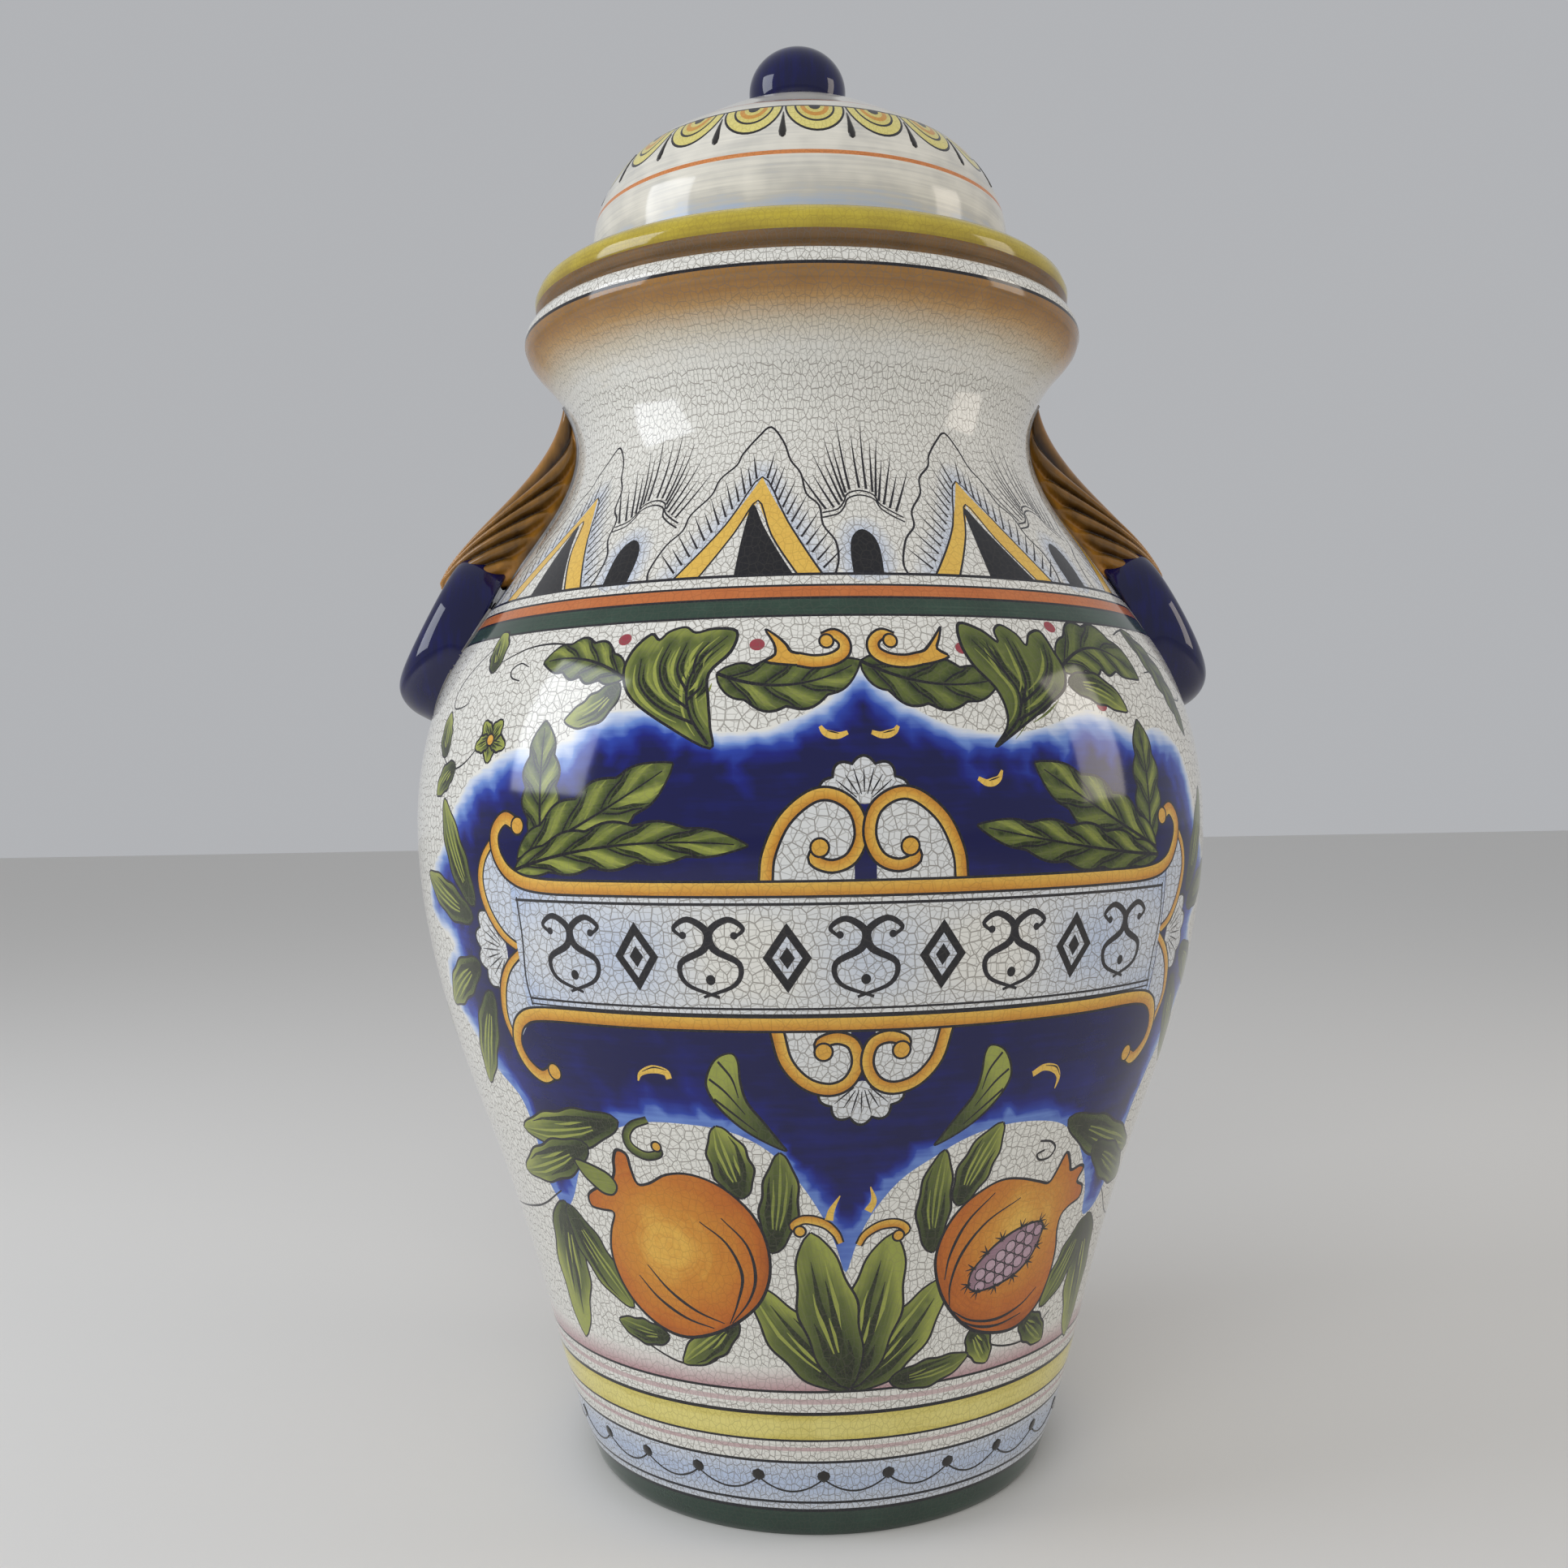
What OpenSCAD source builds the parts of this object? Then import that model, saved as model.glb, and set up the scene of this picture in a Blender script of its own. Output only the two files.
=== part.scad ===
// Lidded earthenware storage jar: a thrown body, a domed lid with a ball knob,
// and on each side a modelled leaf lug that holds a fixed ring on the shoulder.
// The origin is on the table under the jar's axis, with the painted front at -Y.

/* [Body] */
// Radius of the foot where the jar stands
foot_r = 95; // [85:1:100]
// Radius of the waist above the foot
waist_r = 116; // [110:1:122]
// Height of the waist
waist_z = 70; // [60:1:80]
// Radius where the belly starts to swell
flare_r = 141; // [136:1:146]
// Height where the belly starts to swell
flare_z = 150; // [140:1:160]
// Largest radius of the belly
belly_r = 166.2; // [160:1:174]
// Height of the largest radius
belly_z = 266; // [258:1:272]
// Radius at the turn of the shoulder
shoulder_r = 146; // [142:1:150]
// Height of the turn of the shoulder
shoulder_z = 340; // [336:1:344]
// Radius half way up the cone between shoulder and neck
cone_r = 121.8; // [118:1:125]
// Height of that point of the cone
cone_z = 375; // [371:1:379]
// Smallest radius of the neck
neck_r = 97.2; // [94:1:100]
// Height of the smallest radius of the neck
neck_z = 426; // [421:1:430]
// Radius of the lip
lip_r = 119.1; // [117:1:122]
// Height of the lip's flat top, where the lid sits
seat_z = 477; // [475:1:481]
// Thickness of the jar's wall, square to its surface
wall = 7.5; // [5.5:0.5:9]
// Height of the jar's inside floor
floor_z = 14; // [12:1:18]
// Radius of the round corner between inside floor and wall
floor_fillet = 22; // [15:1:28]
// Width of the foot ring that touches the table
foot_ring = 15; // [10:1:20]
// Depth of the recess under the jar
foot_recess = 5; // [3:0.5:7]
// Small round on the foot's outer edge
foot_edge = 1.5; // [0.5:0.5:3]
// Radius of the mouth at the lip
mouth_r = 94; // [91:1:98]
// Small round on the mouth's edge
mouth_edge = 3; // [1:0.5:4]

/* [Lid] */
// Radius of the dome's upright wall
dome_r = 89.5; // [86:0.5:92]
// Height of the upright wall above the seat
dome_wall_h = 37; // [33:1:41]
// Radius at the turn of the dome's shoulder
dome_turn_r = 66; // [63:1:69]
// Height of that turn above the seat
dome_turn_h = 74; // [71:1:77]
// Height of the dome's top above the seat, where the knob sits
dome_top_h = 96; // [93:1:99]
// Thickness of the lid's wall
lid_wall = 7; // [5:0.5:8]
// Largest radius of the round rim
rim_r = 114.6; // [112:0.2:116]
// Radius of the rim's own round section
rim_tube = 8.2; // [7:0.2:9]
// Radius of the narrow band under the rim
band_r = 110.4; // [107:0.2:111]
// Height of the narrow band
band_h = 2.4; // [1.6:0.2:3.6]
// Depth of the flange that drops into the mouth
flange_h = 20; // [12:1:26]
// Thickness of that flange
flange_wall = 6; // [4:0.5:8]
// Gap all round between flange and mouth
lid_clearance = 2; // [1:0.5:3.5]

/* [Knob] */
// Largest radius of the knob
knob_r = 21; // [17:0.5:24]
// Half the height of the knob's ball
knob_half_h = 19; // [15:0.5:22]
// Radius of the knob's foot where it is luted to the dome
knob_foot_r = 17.5; // [14:0.5:18.5]
// Height of the knob's foot
knob_foot_h = 2.4; // [1.4:0.2:4]
// Height of the ball's middle above the dome's top
knob_mid_h = 9.6; // [8:0.2:12]

/* [Handles] */
// Length of each ring, down the shoulder
ring_len = 76; // [66:1:80]
// Width of each ring, round the jar
ring_across = 66; // [56:1:80]
// Width of the ring's section, from its outer edge to its hole
ring_w = 18.5; // [15:0.5:21]
// Depth of the ring's section, square to its flat back
ring_depth = 21; // [17:0.5:24]
// Straight part of that depth, behind the round front
ring_flat = 7; // [4:0.5:9]
// Height of the ring's lowest point on the shoulder
ring_low_z = 310.5; // [306:0.5:316]
// Gap between the ring's top and the shoulder, under the lug
ring_stand = 5; // [3:0.5:7]
// Depth to which the handle pieces are bedded in the jar's wall
bed = 1.5; // [1:0.1:2]
// Height of the lug's pointed tip on the neck
lug_tip_z = 447; // [443:1:450]
// Height of the lug's blunt end
lug_end_z = 371; // [368:1:374]
// How far the blunt end stands out from the shoulder
lug_reach = 32; // [28:1:35]
// Half of the lug's width at its widest
lug_half_w = 21; // [17:0.5:24]
// Number of lobes along each side of the lug
lug_lobes = 7; // [4:1:8]
// Height of the lug's ribs
rib_h = 2.6; // [1:0.2:3.4]
// Extra swelling of each lobe beside the jar
lobe_h = 2.4; // [0:0.2:3.2]

/* [Hidden] */
$fn = 96;
// Spans of each curve between two stations
CURVE_N = 9;
// Rings along the lug and points across it
LUG_N = 50;
LUG_ACROSS = 40;
// Lean of the outline at each station, in degrees from level
FOOT_LEAN = 66;
WAIST_LEAN = 75.5;
FLARE_LEAN = 69.7;
SHOULDER_LEAN = 124.5;
CONE_LEAN = 125.8;
UNDER_LIP_LEAN = 50;
// The lip's turn, measured from its radius and from the seat
UNDER_LIP = [9.6, 22];
LIP_LOW = [0.8, 11.5];
LIP_MID = 7;
LIP_TOP_IN = 5.6;
GLAZE_WHITE = [0.90, 0.89, 0.85];
GLAZE_COBALT = [0.07, 0.08, 0.38];
GLAZE_AMBER = [0.48, 0.29, 0.12];

// A point of the smooth curve between stations a and b, each [r, z, lean]
function between(a, b, t) =
    let (span = norm([b[0] - a[0], b[1] - a[1]]) / 3,
        pa = [a[0] + span * cos(a[2]), a[1] + span * sin(a[2])],
        pb = [b[0] - span * cos(b[2]), b[1] - span * sin(b[2])],
        u = 1 - t)
    u * u * u * [a[0], a[1]] + 3 * u * u * t * pa
        + 3 * u * t * t * pb + t * t * t * [b[0], b[1]];
// The outline through a list of stations
function curve(stations) = concat(
    [for (i = [0 : len(stations) - 2]) for (k = [0 : CURVE_N - 1])
        between(stations[i], stations[i + 1], k / CURVE_N)],
    [[stations[len(stations) - 1][0], stations[len(stations) - 1][1]]]);
// A station moved inwards, square to the outline
function inside(s, t) = [s[0] - t * sin(s[2]), s[1] + t * cos(s[2]), s[2]];
// Two triangles for the face a, b, c, d
function quad(a, b, c, d) = [[a, b, c], [a, c, d]];
function reversed(list) = [for (i = [len(list) - 1 : -1 : 0]) list[i]];
// Points of an arc about c, from angle a0 to a1
function arc(c, rx, ry, a0, a1, n) =
    [for (i = [0 : n]) let (a = a0 + (a1 - a0) * i / n) c + [rx * cos(a), ry * sin(a)]];

waist = [waist_r, waist_z, WAIST_LEAN];
flare = [flare_r, flare_z, FLARE_LEAN];
belly = [belly_r, belly_z, 90];
shoulder = [shoulder_r, shoulder_z, SHOULDER_LEAN];
cone = [cone_r, cone_z, CONE_LEAN];
neck = [neck_r, neck_z, 90];
outer = curve([
    [foot_r, foot_edge, FOOT_LEAN], waist, flare, belly, shoulder, cone, neck,
    [lip_r - UNDER_LIP[0], seat_z - UNDER_LIP[1], UNDER_LIP_LEAN],
    [lip_r - LIP_LOW[0], seat_z - LIP_LOW[1], 62],
    [lip_r, seat_z - LIP_MID, 92],
    [lip_r - LIP_TOP_IN, seat_z, 178]]);
// The jar's outer radius at a height
radius_at = [for (p = outer) [p[1], p[0]]];
function body_r(z) = lookup(z, radius_at);
corner_z = floor_z + floor_fillet;
corner_r = body_r(corner_z) - wall / sin(FOOT_LEAN);
inner = curve([
    [corner_r - floor_fillet, floor_z, 0],
    [corner_r, corner_z, FOOT_LEAN + 3],
    inside(waist, wall), inside(flare, wall), inside(belly, wall),
    inside(shoulder, wall), inside(cone, wall), inside(neck, wall),
    [mouth_r, seat_z - mouth_edge, 90],
    [mouth_r + mouth_edge, seat_z, 10]]);
recess_r = foot_r - foot_ring;

// Thrown body: one wall from the foot ring to the lip
module jar_body() {
    color(GLAZE_WHITE)
        rotate_extrude()
            polygon(concat(
                [[0, foot_recess], [recess_r - foot_recess, foot_recess], [recess_r, 0],
                    [foot_r - foot_edge, 0]],
                outer, reversed(inner), [[0, floor_z]]));
}

flange_r = mouth_r - lid_clearance;
flange_low = seat_z - flange_h;
flange_in = flange_r - flange_wall;
rim_c = [rim_r - rim_tube, seat_z + rim_tube + 0.6];
dome_base_z = rim_c[1] + 3;
dome_low = [dome_r, dome_base_z + 8, 90];
dome_wall = [dome_r, seat_z + dome_wall_h, 93];
dome_turn = [dome_turn_r, seat_z + dome_turn_h, 152];
dome_top_z = seat_z + dome_top_h;
dome_top = [knob_foot_r + 2, dome_top_z, 172];
dome_outer = curve([dome_low, dome_wall, dome_turn, dome_top]);
dome_inner = curve([inside([dome_r, dome_base_z, 90], lid_wall), inside(dome_wall, lid_wall),
    inside(dome_turn, lid_wall), inside(dome_top, lid_wall)]);
band_top = seat_z + band_h;
// Angle on the rim's section where the narrow band meets it
band_angle = -asin((rim_c[1] - band_top) / rim_tube);
// The rim's top ends in a small hollow corner against the dome
RIM_CORNER = 1.6;
RIM_END = 150;
rim_end = min(RIM_END, acos(max(-1, min(1, (dome_r + 2 * RIM_CORNER - rim_c[0]) / rim_tube))));
rim_corner_z = max(dome_base_z + 2.5, rim_c[1] + rim_tube * sin(rim_end) + 1);

// Lid: flange, narrow band, round rim and hollow dome in one wall
module lid_dome() {
    color(GLAZE_WHITE)
        rotate_extrude()
            polygon(concat(
                [[flange_in + 1, flange_low], [flange_r - 1, flange_low],
                    [flange_r, flange_low + 1], [flange_r, seat_z], [band_r, seat_z],
                    [band_r, band_top]],
                arc(rim_c, rim_tube, rim_tube, band_angle, rim_end, 22),
                [[dome_r + RIM_CORNER, rim_corner_z]],
                dome_outer, [[0, dome_top_z], [0, dome_top_z - lid_wall]],
                reversed(dome_inner), [[flange_in, seat_z], [flange_in, flange_low + 1]]));
}

// Knob: a slightly flattened ball on a short foot
module lid_knob() {
    low_angle = -asin((knob_mid_h - knob_foot_h) / knob_half_h);
    color(GLAZE_COBALT)
        translate([0, 0, dome_top_z])
            rotate_extrude()
                polygon(concat([[0, 0], [knob_foot_r, 0]],
                    arc([0, knob_mid_h], knob_r, knob_half_h, low_angle, 90, 20)));
}

// The ring is laid on the shoulder while soft, so its flat back follows the
// wall round the jar. It runs from its low point on the shoulder to its top,
// which stands clear of the wall under the lug.
RING_RISE = 0.88;
RING_GAP = 0.3;
ring_rise = ring_len * RING_RISE;
// The wall's bulge presses into the ring's soft back up to this depth, and
// past it the whole ring stands further out
RING_PRESS = 2.1;
ring_bulge = max([for (t = [0 : 0.08 : 0.64])
    body_r(ring_low_z + t * ring_rise) - (1 - t) * (body_r(ring_low_z) + RING_GAP)
        - t * (body_r(ring_low_z + ring_rise) + ring_stand)]);
ring_x = body_r(ring_low_z) + RING_GAP + max(0, ring_bulge - RING_PRESS);
ring_run = ring_x - body_r(ring_low_z + ring_rise) - ring_stand
    - max(0, ring_bulge - RING_PRESS);
ring_lean = atan(ring_run / ring_rise);
ring_mid = [ring_x - ring_len / 2 * sin(ring_lean), 0,
    ring_low_z + ring_len / 2 * cos(ring_lean)];
ring_up = [-sin(ring_lean), 0, cos(ring_lean)];
ring_out = [cos(ring_lean), 0, sin(ring_lean)];
ring_bend = cos(ring_lean) / (2 * body_r(ring_mid[2]));
RING_N = 48;
// The ring's section, as [across, out] from the middle of its flat back
ring_section = let (edge = 1.2, half = ring_w / 2) concat(
    [[half - edge, 0], [half, edge]],
    arc([0, ring_flat], half, ring_depth - ring_flat, 0, 180, 10),
    [[-half, edge], [edge - half, 0]]);
function ring_point(t, p) =
    let (a = (ring_len - ring_w) / 2, b = (ring_across - ring_w) / 2,
        side = [b * cos(t), a * sin(t)] / norm([b * cos(t), a * sin(t)]),
        v = a * cos(t) + p[0] * side[0], y = b * sin(t) + p[0] * side[1])
    ring_mid + v * ring_up + (p[1] - ring_bend * y * y) * ring_out + [0, y, 0];
ring_m = len(ring_section);
ring_points = [for (i = [0 : RING_N - 1]) for (p = ring_section)
    ring_point(360 * i / RING_N, p)];
ring_faces = [for (i = [0 : RING_N - 1]) for (j = [0 : ring_m - 1])
    let (a = i * ring_m, b = ((i + 1) % RING_N) * ring_m, j2 = (j + 1) % ring_m)
    each quad(a + j, b + j, b + j2, a + j2)];

// Ring on the right side: flat back, round front, open middle
module ring() {
    color(GLAZE_COBALT)
        polyhedron(ring_points, ring_faces, convexity = 6);
}

// The lug's crest is a smooth curve from the tip to the blunt end. Its middle
// handles stand out from the neck and from the cone.
TIP_IN = 0.4;
HIGH_OUT = 8.5;
HIGH_DROP = 34;
LOW_OUT = 5;
LOW_UP = 25;
crest_tip = [body_r(lug_tip_z) - TIP_IN, lug_tip_z];
crest_high = [body_r(lug_tip_z - HIGH_DROP) + HIGH_OUT, lug_tip_z - HIGH_DROP];
crest_low = [body_r(lug_end_z + LOW_UP) + lug_reach + LOW_OUT, lug_end_z + LOW_UP];
crest_end = [body_r(lug_end_z) + lug_reach, lug_end_z];
// Share of the rings that lie on the long crest; the rest round off the end
LUG_LONG = 0.86;
END_DROP = 7;
END_IN = 7;
function crest(t) = let (u = 1 - t) u * u * u * crest_tip + 3 * u * u * t * crest_high
    + 3 * u * t * t * crest_low + t * t * t * crest_end;
function crest_at(s) = s <= LUG_LONG ? crest(s / LUG_LONG)
    : let (a = 90 * (s - LUG_LONG) / (1 - LUG_LONG))
        crest_end - [END_IN * (1 - cos(a)), END_DROP * sin(a)];
// Height on the jar's wall from which each section rises
function foot_at(s) = lug_tip_z - (lug_tip_z - lug_end_z + 3) * pow(s, 0.92);
function half_w(s) = lug_half_w * pow(sin(min(90, 12 + 104 * s)), 1.15)
    * (s <= LUG_LONG ? 1 : 1 - 0.22 * pow((s - LUG_LONG) / (1 - LUG_LONG), 2));
// Ribs fan out from the blunt end: each runs up to one lobe at the edge, and
// the last ones run up to the tip
CREST_RIBS = 1.5;
function rib(s, a) =
    let (v = abs(1 - a / 90),
        q = (1.04 - s) / max(0.03, pow(v, 0.75)),
        phase = q < 1 ? lug_lobes * q : lug_lobes + CREST_RIBS * (1 - 1 / q))
    pow(sin(180 * phase), 2);
function swell(s) = sin(180 * min(1, 0.08 + 0.95 * s)) * 0.55 + 0.45 * min(1, s * 4);
function lug_point(s, a) =
    let (top = crest_at(s), z0 = foot_at(s), y = half_w(s) * cos(a),
        x0 = sqrt(pow(body_r(z0), 2) - y * y) - bed,
        rise = pow(sin(a), 0.8),
        up = [top[0] - x0, top[1] - z0],
        edge = pow(abs(cos(a)), 3),
        out = (rib(s, a) - 0.5) * (rib_h + lobe_h * edge) * swell(s) * min(1, sin(a) * 5),
        n = up / norm(up))
    [x0 + up[0] * rise + out * n[0] * sin(a), y + out * cos(a),
        z0 + up[1] * rise + out * n[1] * sin(a)];
// Points that close each section inside the jar's wall
CLOSE_N = 3;
function lug_close(s, k) =
    let (y = half_w(s) * (1 - 2 * k / (CLOSE_N + 1)) * -1, z0 = foot_at(s))
    [sqrt(pow(body_r(z0), 2) - y * y) - bed * 1.6, y, z0];
lug_ring_n = LUG_ACROSS + 1 + CLOSE_N;
lug_points = concat(
    [for (i = [0 : LUG_N]) each concat(
        [for (j = [0 : LUG_ACROSS]) lug_point(i / LUG_N, 180 * j / LUG_ACROSS)],
        [for (k = [1 : CLOSE_N]) lug_close(i / LUG_N, k)])],
    [for (s = [0, 1]) [(crest_at(s)[0] + body_r(foot_at(s))) / 2, 0,
        (crest_at(s)[1] + foot_at(s)) / 2]]);
lug_faces = concat(
    [for (i = [0 : LUG_N - 1]) for (j = [0 : lug_ring_n - 1]) let (
        j2 = (j + 1) % lug_ring_n, a = i * lug_ring_n, b = a + lug_ring_n)
        each quad(a + j, b + j, b + j2, a + j2)],
    [for (j = [0 : lug_ring_n - 1])
        [j, (j + 1) % lug_ring_n, (LUG_N + 1) * lug_ring_n]],
    [for (j = [0 : lug_ring_n - 1]) let (a = LUG_N * lug_ring_n)
        [a + (j + 1) % lug_ring_n, a + j, (LUG_N + 1) * lug_ring_n + 1]]);

// Leaf lug on the right side: a ribbed leaf that grips the ring's top
module lug() {
    color(GLAZE_AMBER)
        polyhedron(lug_points, lug_faces, convexity = 6);
}

module right_lug() lug();
module left_lug() mirror([1, 0, 0]) lug();
module right_ring() ring();
module left_ring() mirror([1, 0, 0]) ring();

jar_body();
left_lug();
right_lug();
left_ring();
right_ring();
lid_dome();
lid_knob();
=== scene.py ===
import itertools
import math

import bpy
import numpy as np
from mathutils import Matrix, Vector, geometry


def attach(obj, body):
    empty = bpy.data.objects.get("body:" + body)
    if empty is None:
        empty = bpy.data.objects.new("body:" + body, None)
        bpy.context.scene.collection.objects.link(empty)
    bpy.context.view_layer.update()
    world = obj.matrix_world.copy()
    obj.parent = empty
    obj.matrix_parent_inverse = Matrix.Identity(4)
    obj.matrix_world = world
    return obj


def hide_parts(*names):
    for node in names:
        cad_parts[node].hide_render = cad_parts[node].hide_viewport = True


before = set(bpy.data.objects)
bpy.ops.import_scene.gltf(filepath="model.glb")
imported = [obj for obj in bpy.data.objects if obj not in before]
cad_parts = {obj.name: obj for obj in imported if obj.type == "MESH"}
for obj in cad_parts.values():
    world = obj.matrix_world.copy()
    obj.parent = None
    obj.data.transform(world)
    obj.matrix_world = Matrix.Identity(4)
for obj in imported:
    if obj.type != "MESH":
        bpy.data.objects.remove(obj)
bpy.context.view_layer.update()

bl_info = {
    "name": "Apothecary Jar",
    "version": (1, 0, 0),
    "blender": (4, 5, 0),
    "location": "View3D > Sidebar > Jar",
    "description": "Dresses the lidded jar in painted, crackled tin glaze",
    "category": "Object",
}

MM = 0.001
TINY = 1e-6
DEG = math.pi / 180

# The design counts its angles from a zero that lies this many degrees from -Y towards +X
DESIGN_TURN = 3.8
# Radius in mm at which the cracks keep their given size: finer on the neck, wider on the belly
CRAZE_R = 130
# Spacing in mm along a smoothed outline, and the turn in degrees that counts as a real corner
OUTLINE_STEP = 0.5
CORNER_TURN = 25
# Steps round the jar where two skins meet, so that their rims match
RIM_STEPS = 240
# Mm for each degree round, on the flat sheet where a skin is cut into triangles
JAR_SHEET_K = 2.4
LID_SHEET_K = 1.3
# Edges of the jar's six painted panels, in degrees of the design. The first and the last are
# one seam at the back, at the foot of one of the neck's hoods
PANELS = [-192, -132, -72, -12, 48, 108, 168]
PANEL_SIDES = ["back_left", "left", "front_left", "front_right", "right", "back_right"]


def linear(hex_colour):
    """An sRGB hex colour as linear RGBA."""
    def channel(c):
        return c / 12.92 if c <= 0.04045 else ((c + 0.055) / 1.055) ** 2.4
    return [channel(int(hex_colour[i:i + 2], 16) / 255) for i in (1, 3, 5)] + [1.0]


# Outlines read from the frame


def section(node):
    """A turned CAD node's half outline: (r, z) points in mm, in order, walked along its seam.
    The seam is cut where a flat face closes, so loose ends at one height are joined."""
    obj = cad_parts[node]
    same_height = 0.01
    links = {}

    def link(a, b):
        links.setdefault(a, set()).add(b)
        links.setdefault(b, set()).add(a)

    for edge in obj.data.edges:
        ends = [obj.matrix_world @ obj.data.vertices[i].co for i in edge.vertices]
        if all(abs(p.y) < TINY and p.x > -TINY for p in ends):
            a, b = ((round(p.x / MM, 3), round(p.z / MM, 3)) for p in ends)
            if a != b:
                link(a, b)
    loose = sorted(p for p in links if len(links[p]) == 1)
    for a, b in itertools.combinations(loose, 2):
        if abs(a[1] - b[1]) < same_height:
            link(a, b)
    path = [min((p for p in links if len(links[p]) == 1), key=lambda p: p[1])]
    while True:
        step = [p for p in links[path[-1]] if p not in path]
        if not step:
            return path
        path.append(step[0])


def between(path, start, end):
    """The part of an outline from the point nearest start to the point nearest end."""
    i, j = (min(range(len(path)), key=lambda k: math.dist(path[k], p)) for p in (start, end))
    return path[i:j + 1] if i <= j else path[j:i + 1][::-1]


def rounded(path, spacing):
    """An outline resampled on smooth arcs, with its real corners kept sharp."""
    pts = [np.array(p, float) for p in path]
    cuts = [0]
    for i in range(1, len(pts) - 1):
        a, b = pts[i] - pts[i - 1], pts[i + 1] - pts[i]
        turn = abs(math.degrees(math.atan2(a[0] * b[1] - a[1] * b[0], a @ b)))
        if turn > CORNER_TURN:
            cuts.append(i)
    cuts.append(len(pts) - 1)
    out = [pts[0]]
    for first, last in zip(cuts, cuts[1:]):
        run = pts[first:last + 1]
        for k in range(len(run) - 1):
            p1, p2 = run[k], run[k + 1]
            p0 = run[k - 1] if k else p1 + (p1 - p2)
            p3 = run[k + 2] if k + 2 < len(run) else p2 + (p2 - p1)
            d0, d1, d2 = (max(TINY, math.dist(*q)) for q in ((p0, p1), (p1, p2), (p2, p3)))
            m1 = (p2 - p1) / d1 * 0.5 + (p1 - p0) / d0 * 0.5
            m2 = (p3 - p2) / d2 * 0.5 + (p2 - p1) / d1 * 0.5
            n = max(1, math.ceil(d1 / spacing))
            for t in (j / n for j in range(1, n + 1)):
                out.append((2 * t**3 - 3 * t**2 + 1) * p1 + (t**3 - 2 * t**2 + t) * d1 * m1
                           + (3 * t**2 - 2 * t**3) * p2 + (t**3 - t**2) * d1 * m2)
    return np.array(out)


class Wall:
    """A turned surface: its outline by the length v along it, in mm. Heights are looked up
    from rising_from on, where the outline goes up only."""

    def __init__(self, path, rising_from=None):
        fine = rounded(path, OUTLINE_STEP)
        self.r, self.z = fine[:, 0], fine[:, 1]
        self.v = np.concatenate([[0], np.cumsum(np.hypot(np.diff(self.r), np.diff(self.z)))])
        self.length = self.v[-1]
        self.first = 0
        if rising_from:
            self.first = np.hypot(*(fine - rising_from).T).argmin()
        slope = np.gradient(fine, self.v, axis=0)
        self.nr, self.nz = slope[:, 1], -slope[:, 0]

    def at(self, v):
        return np.interp(v, self.v, self.r), np.interp(v, self.v, self.z)

    def v_of_z(self, z):
        return np.interp(z, self.z[self.first:], self.v[self.first:])

    def r_of_z(self, z):
        return np.interp(z, self.z[self.first:], self.r[self.first:])

    def points(self, a, v):
        """Places on the surface, in metres, from design degrees and lengths."""
        r, z = self.at(v)
        turn = (a + DESIGN_TURN) * DEG
        return np.stack([r * np.sin(turn), -r * np.cos(turn), z], 1) * MM

    def normals(self, a, v):
        nr, nz = np.interp(v, self.v, self.nr), np.interp(v, self.v, self.nz)
        turn = (a + DESIGN_TURN) * DEG
        n = np.stack([nr * np.sin(turn), -nr * np.cos(turn), nz], 1)
        return n / np.linalg.norm(n, axis=1)[:, None]


# The walls. Places on an outline are named by (r, z) in mm and matched to the nearest point

JAR_PATH = section("jar_body")
LID_PATH = section("lid_dome")
KNOB_PATH = section("lid_knob")
FOOT_CORNER = (93.5, 0)
LIP_EDGE = (113.5, 477)
LIP_SPLIT = (105, 477)
MOUTH_EDGE = (97, 477)
FLOOR_Z = JAR_PATH[-1][1]
BAND_CORNER = (110.4, 477)
RIM_CORNER = (99.3, 489.9)
UNDER_KNOB_R = 12
LID_SPLIT_Z = 524
JAR_WALL = Wall(between(JAR_PATH, FOOT_CORNER, LIP_EDGE) + [LIP_SPLIT])
LID_WALL = Wall(between(LID_PATH, BAND_CORNER, LID_PATH[-1]) + [(UNDER_KNOB_R, LID_PATH[-1][1])],
                rising_from=RIM_CORNER)


# The painter's canvas

def smooth(points, per_span=5):
    """A curve through given points."""
    p = np.array(points, float)
    p = np.vstack([2 * p[0] - p[1], p, 2 * p[-1] - p[-2]])
    out = []
    for p0, p1, p2, p3 in zip(p, p[1:], p[2:], p[3:]):
        for t in np.arange(per_span) / per_span:
            out.append(0.5 * (2 * p1 + (p2 - p0) * t + (2 * p0 - 5 * p1 + 4 * p2 - p3) * t**2
                              + (3 * p1 - p0 - 3 * p2 + p3) * t**3))
    out.append(p[-2])
    return np.array(out)


def closed(points, per_span=5):
    """A closed curve through given points."""
    p = [tuple(q) for q in points]
    return smooth([p[-1]] + p + [p[0], p[1]], per_span)[per_span:-per_span - 1]


def circle(n):
    """The points of a circle of radius 1."""
    turn = np.arange(n) * 2 * math.pi / n
    return np.stack([np.cos(turn), np.sin(turn)], 1)


def distance_along(points, path):
    """For each point: distance to a path, its signed side, and how far along it lies, 0 to 1."""
    a, b = path[:-1], path[1:]
    step = b - a
    length = np.maximum(TINY, np.hypot(step[:, 0], step[:, 1]))
    off = points[:, None] - a[None]
    t = np.clip((off * step).sum(2) / length**2, 0, 1)
    gap = off - t[..., None] * step
    d = np.hypot(gap[..., 0], gap[..., 1])
    i = d.argmin(1)
    k = np.arange(len(points))
    run = np.concatenate([[0], np.cumsum(length)])
    side = np.sign(step[i, 0] * off[k, i, 1] - step[i, 1] * off[k, i, 0])
    return d[k, i], side, (run[i] + t[k, i] * length[i]) / run[-1]


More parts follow.
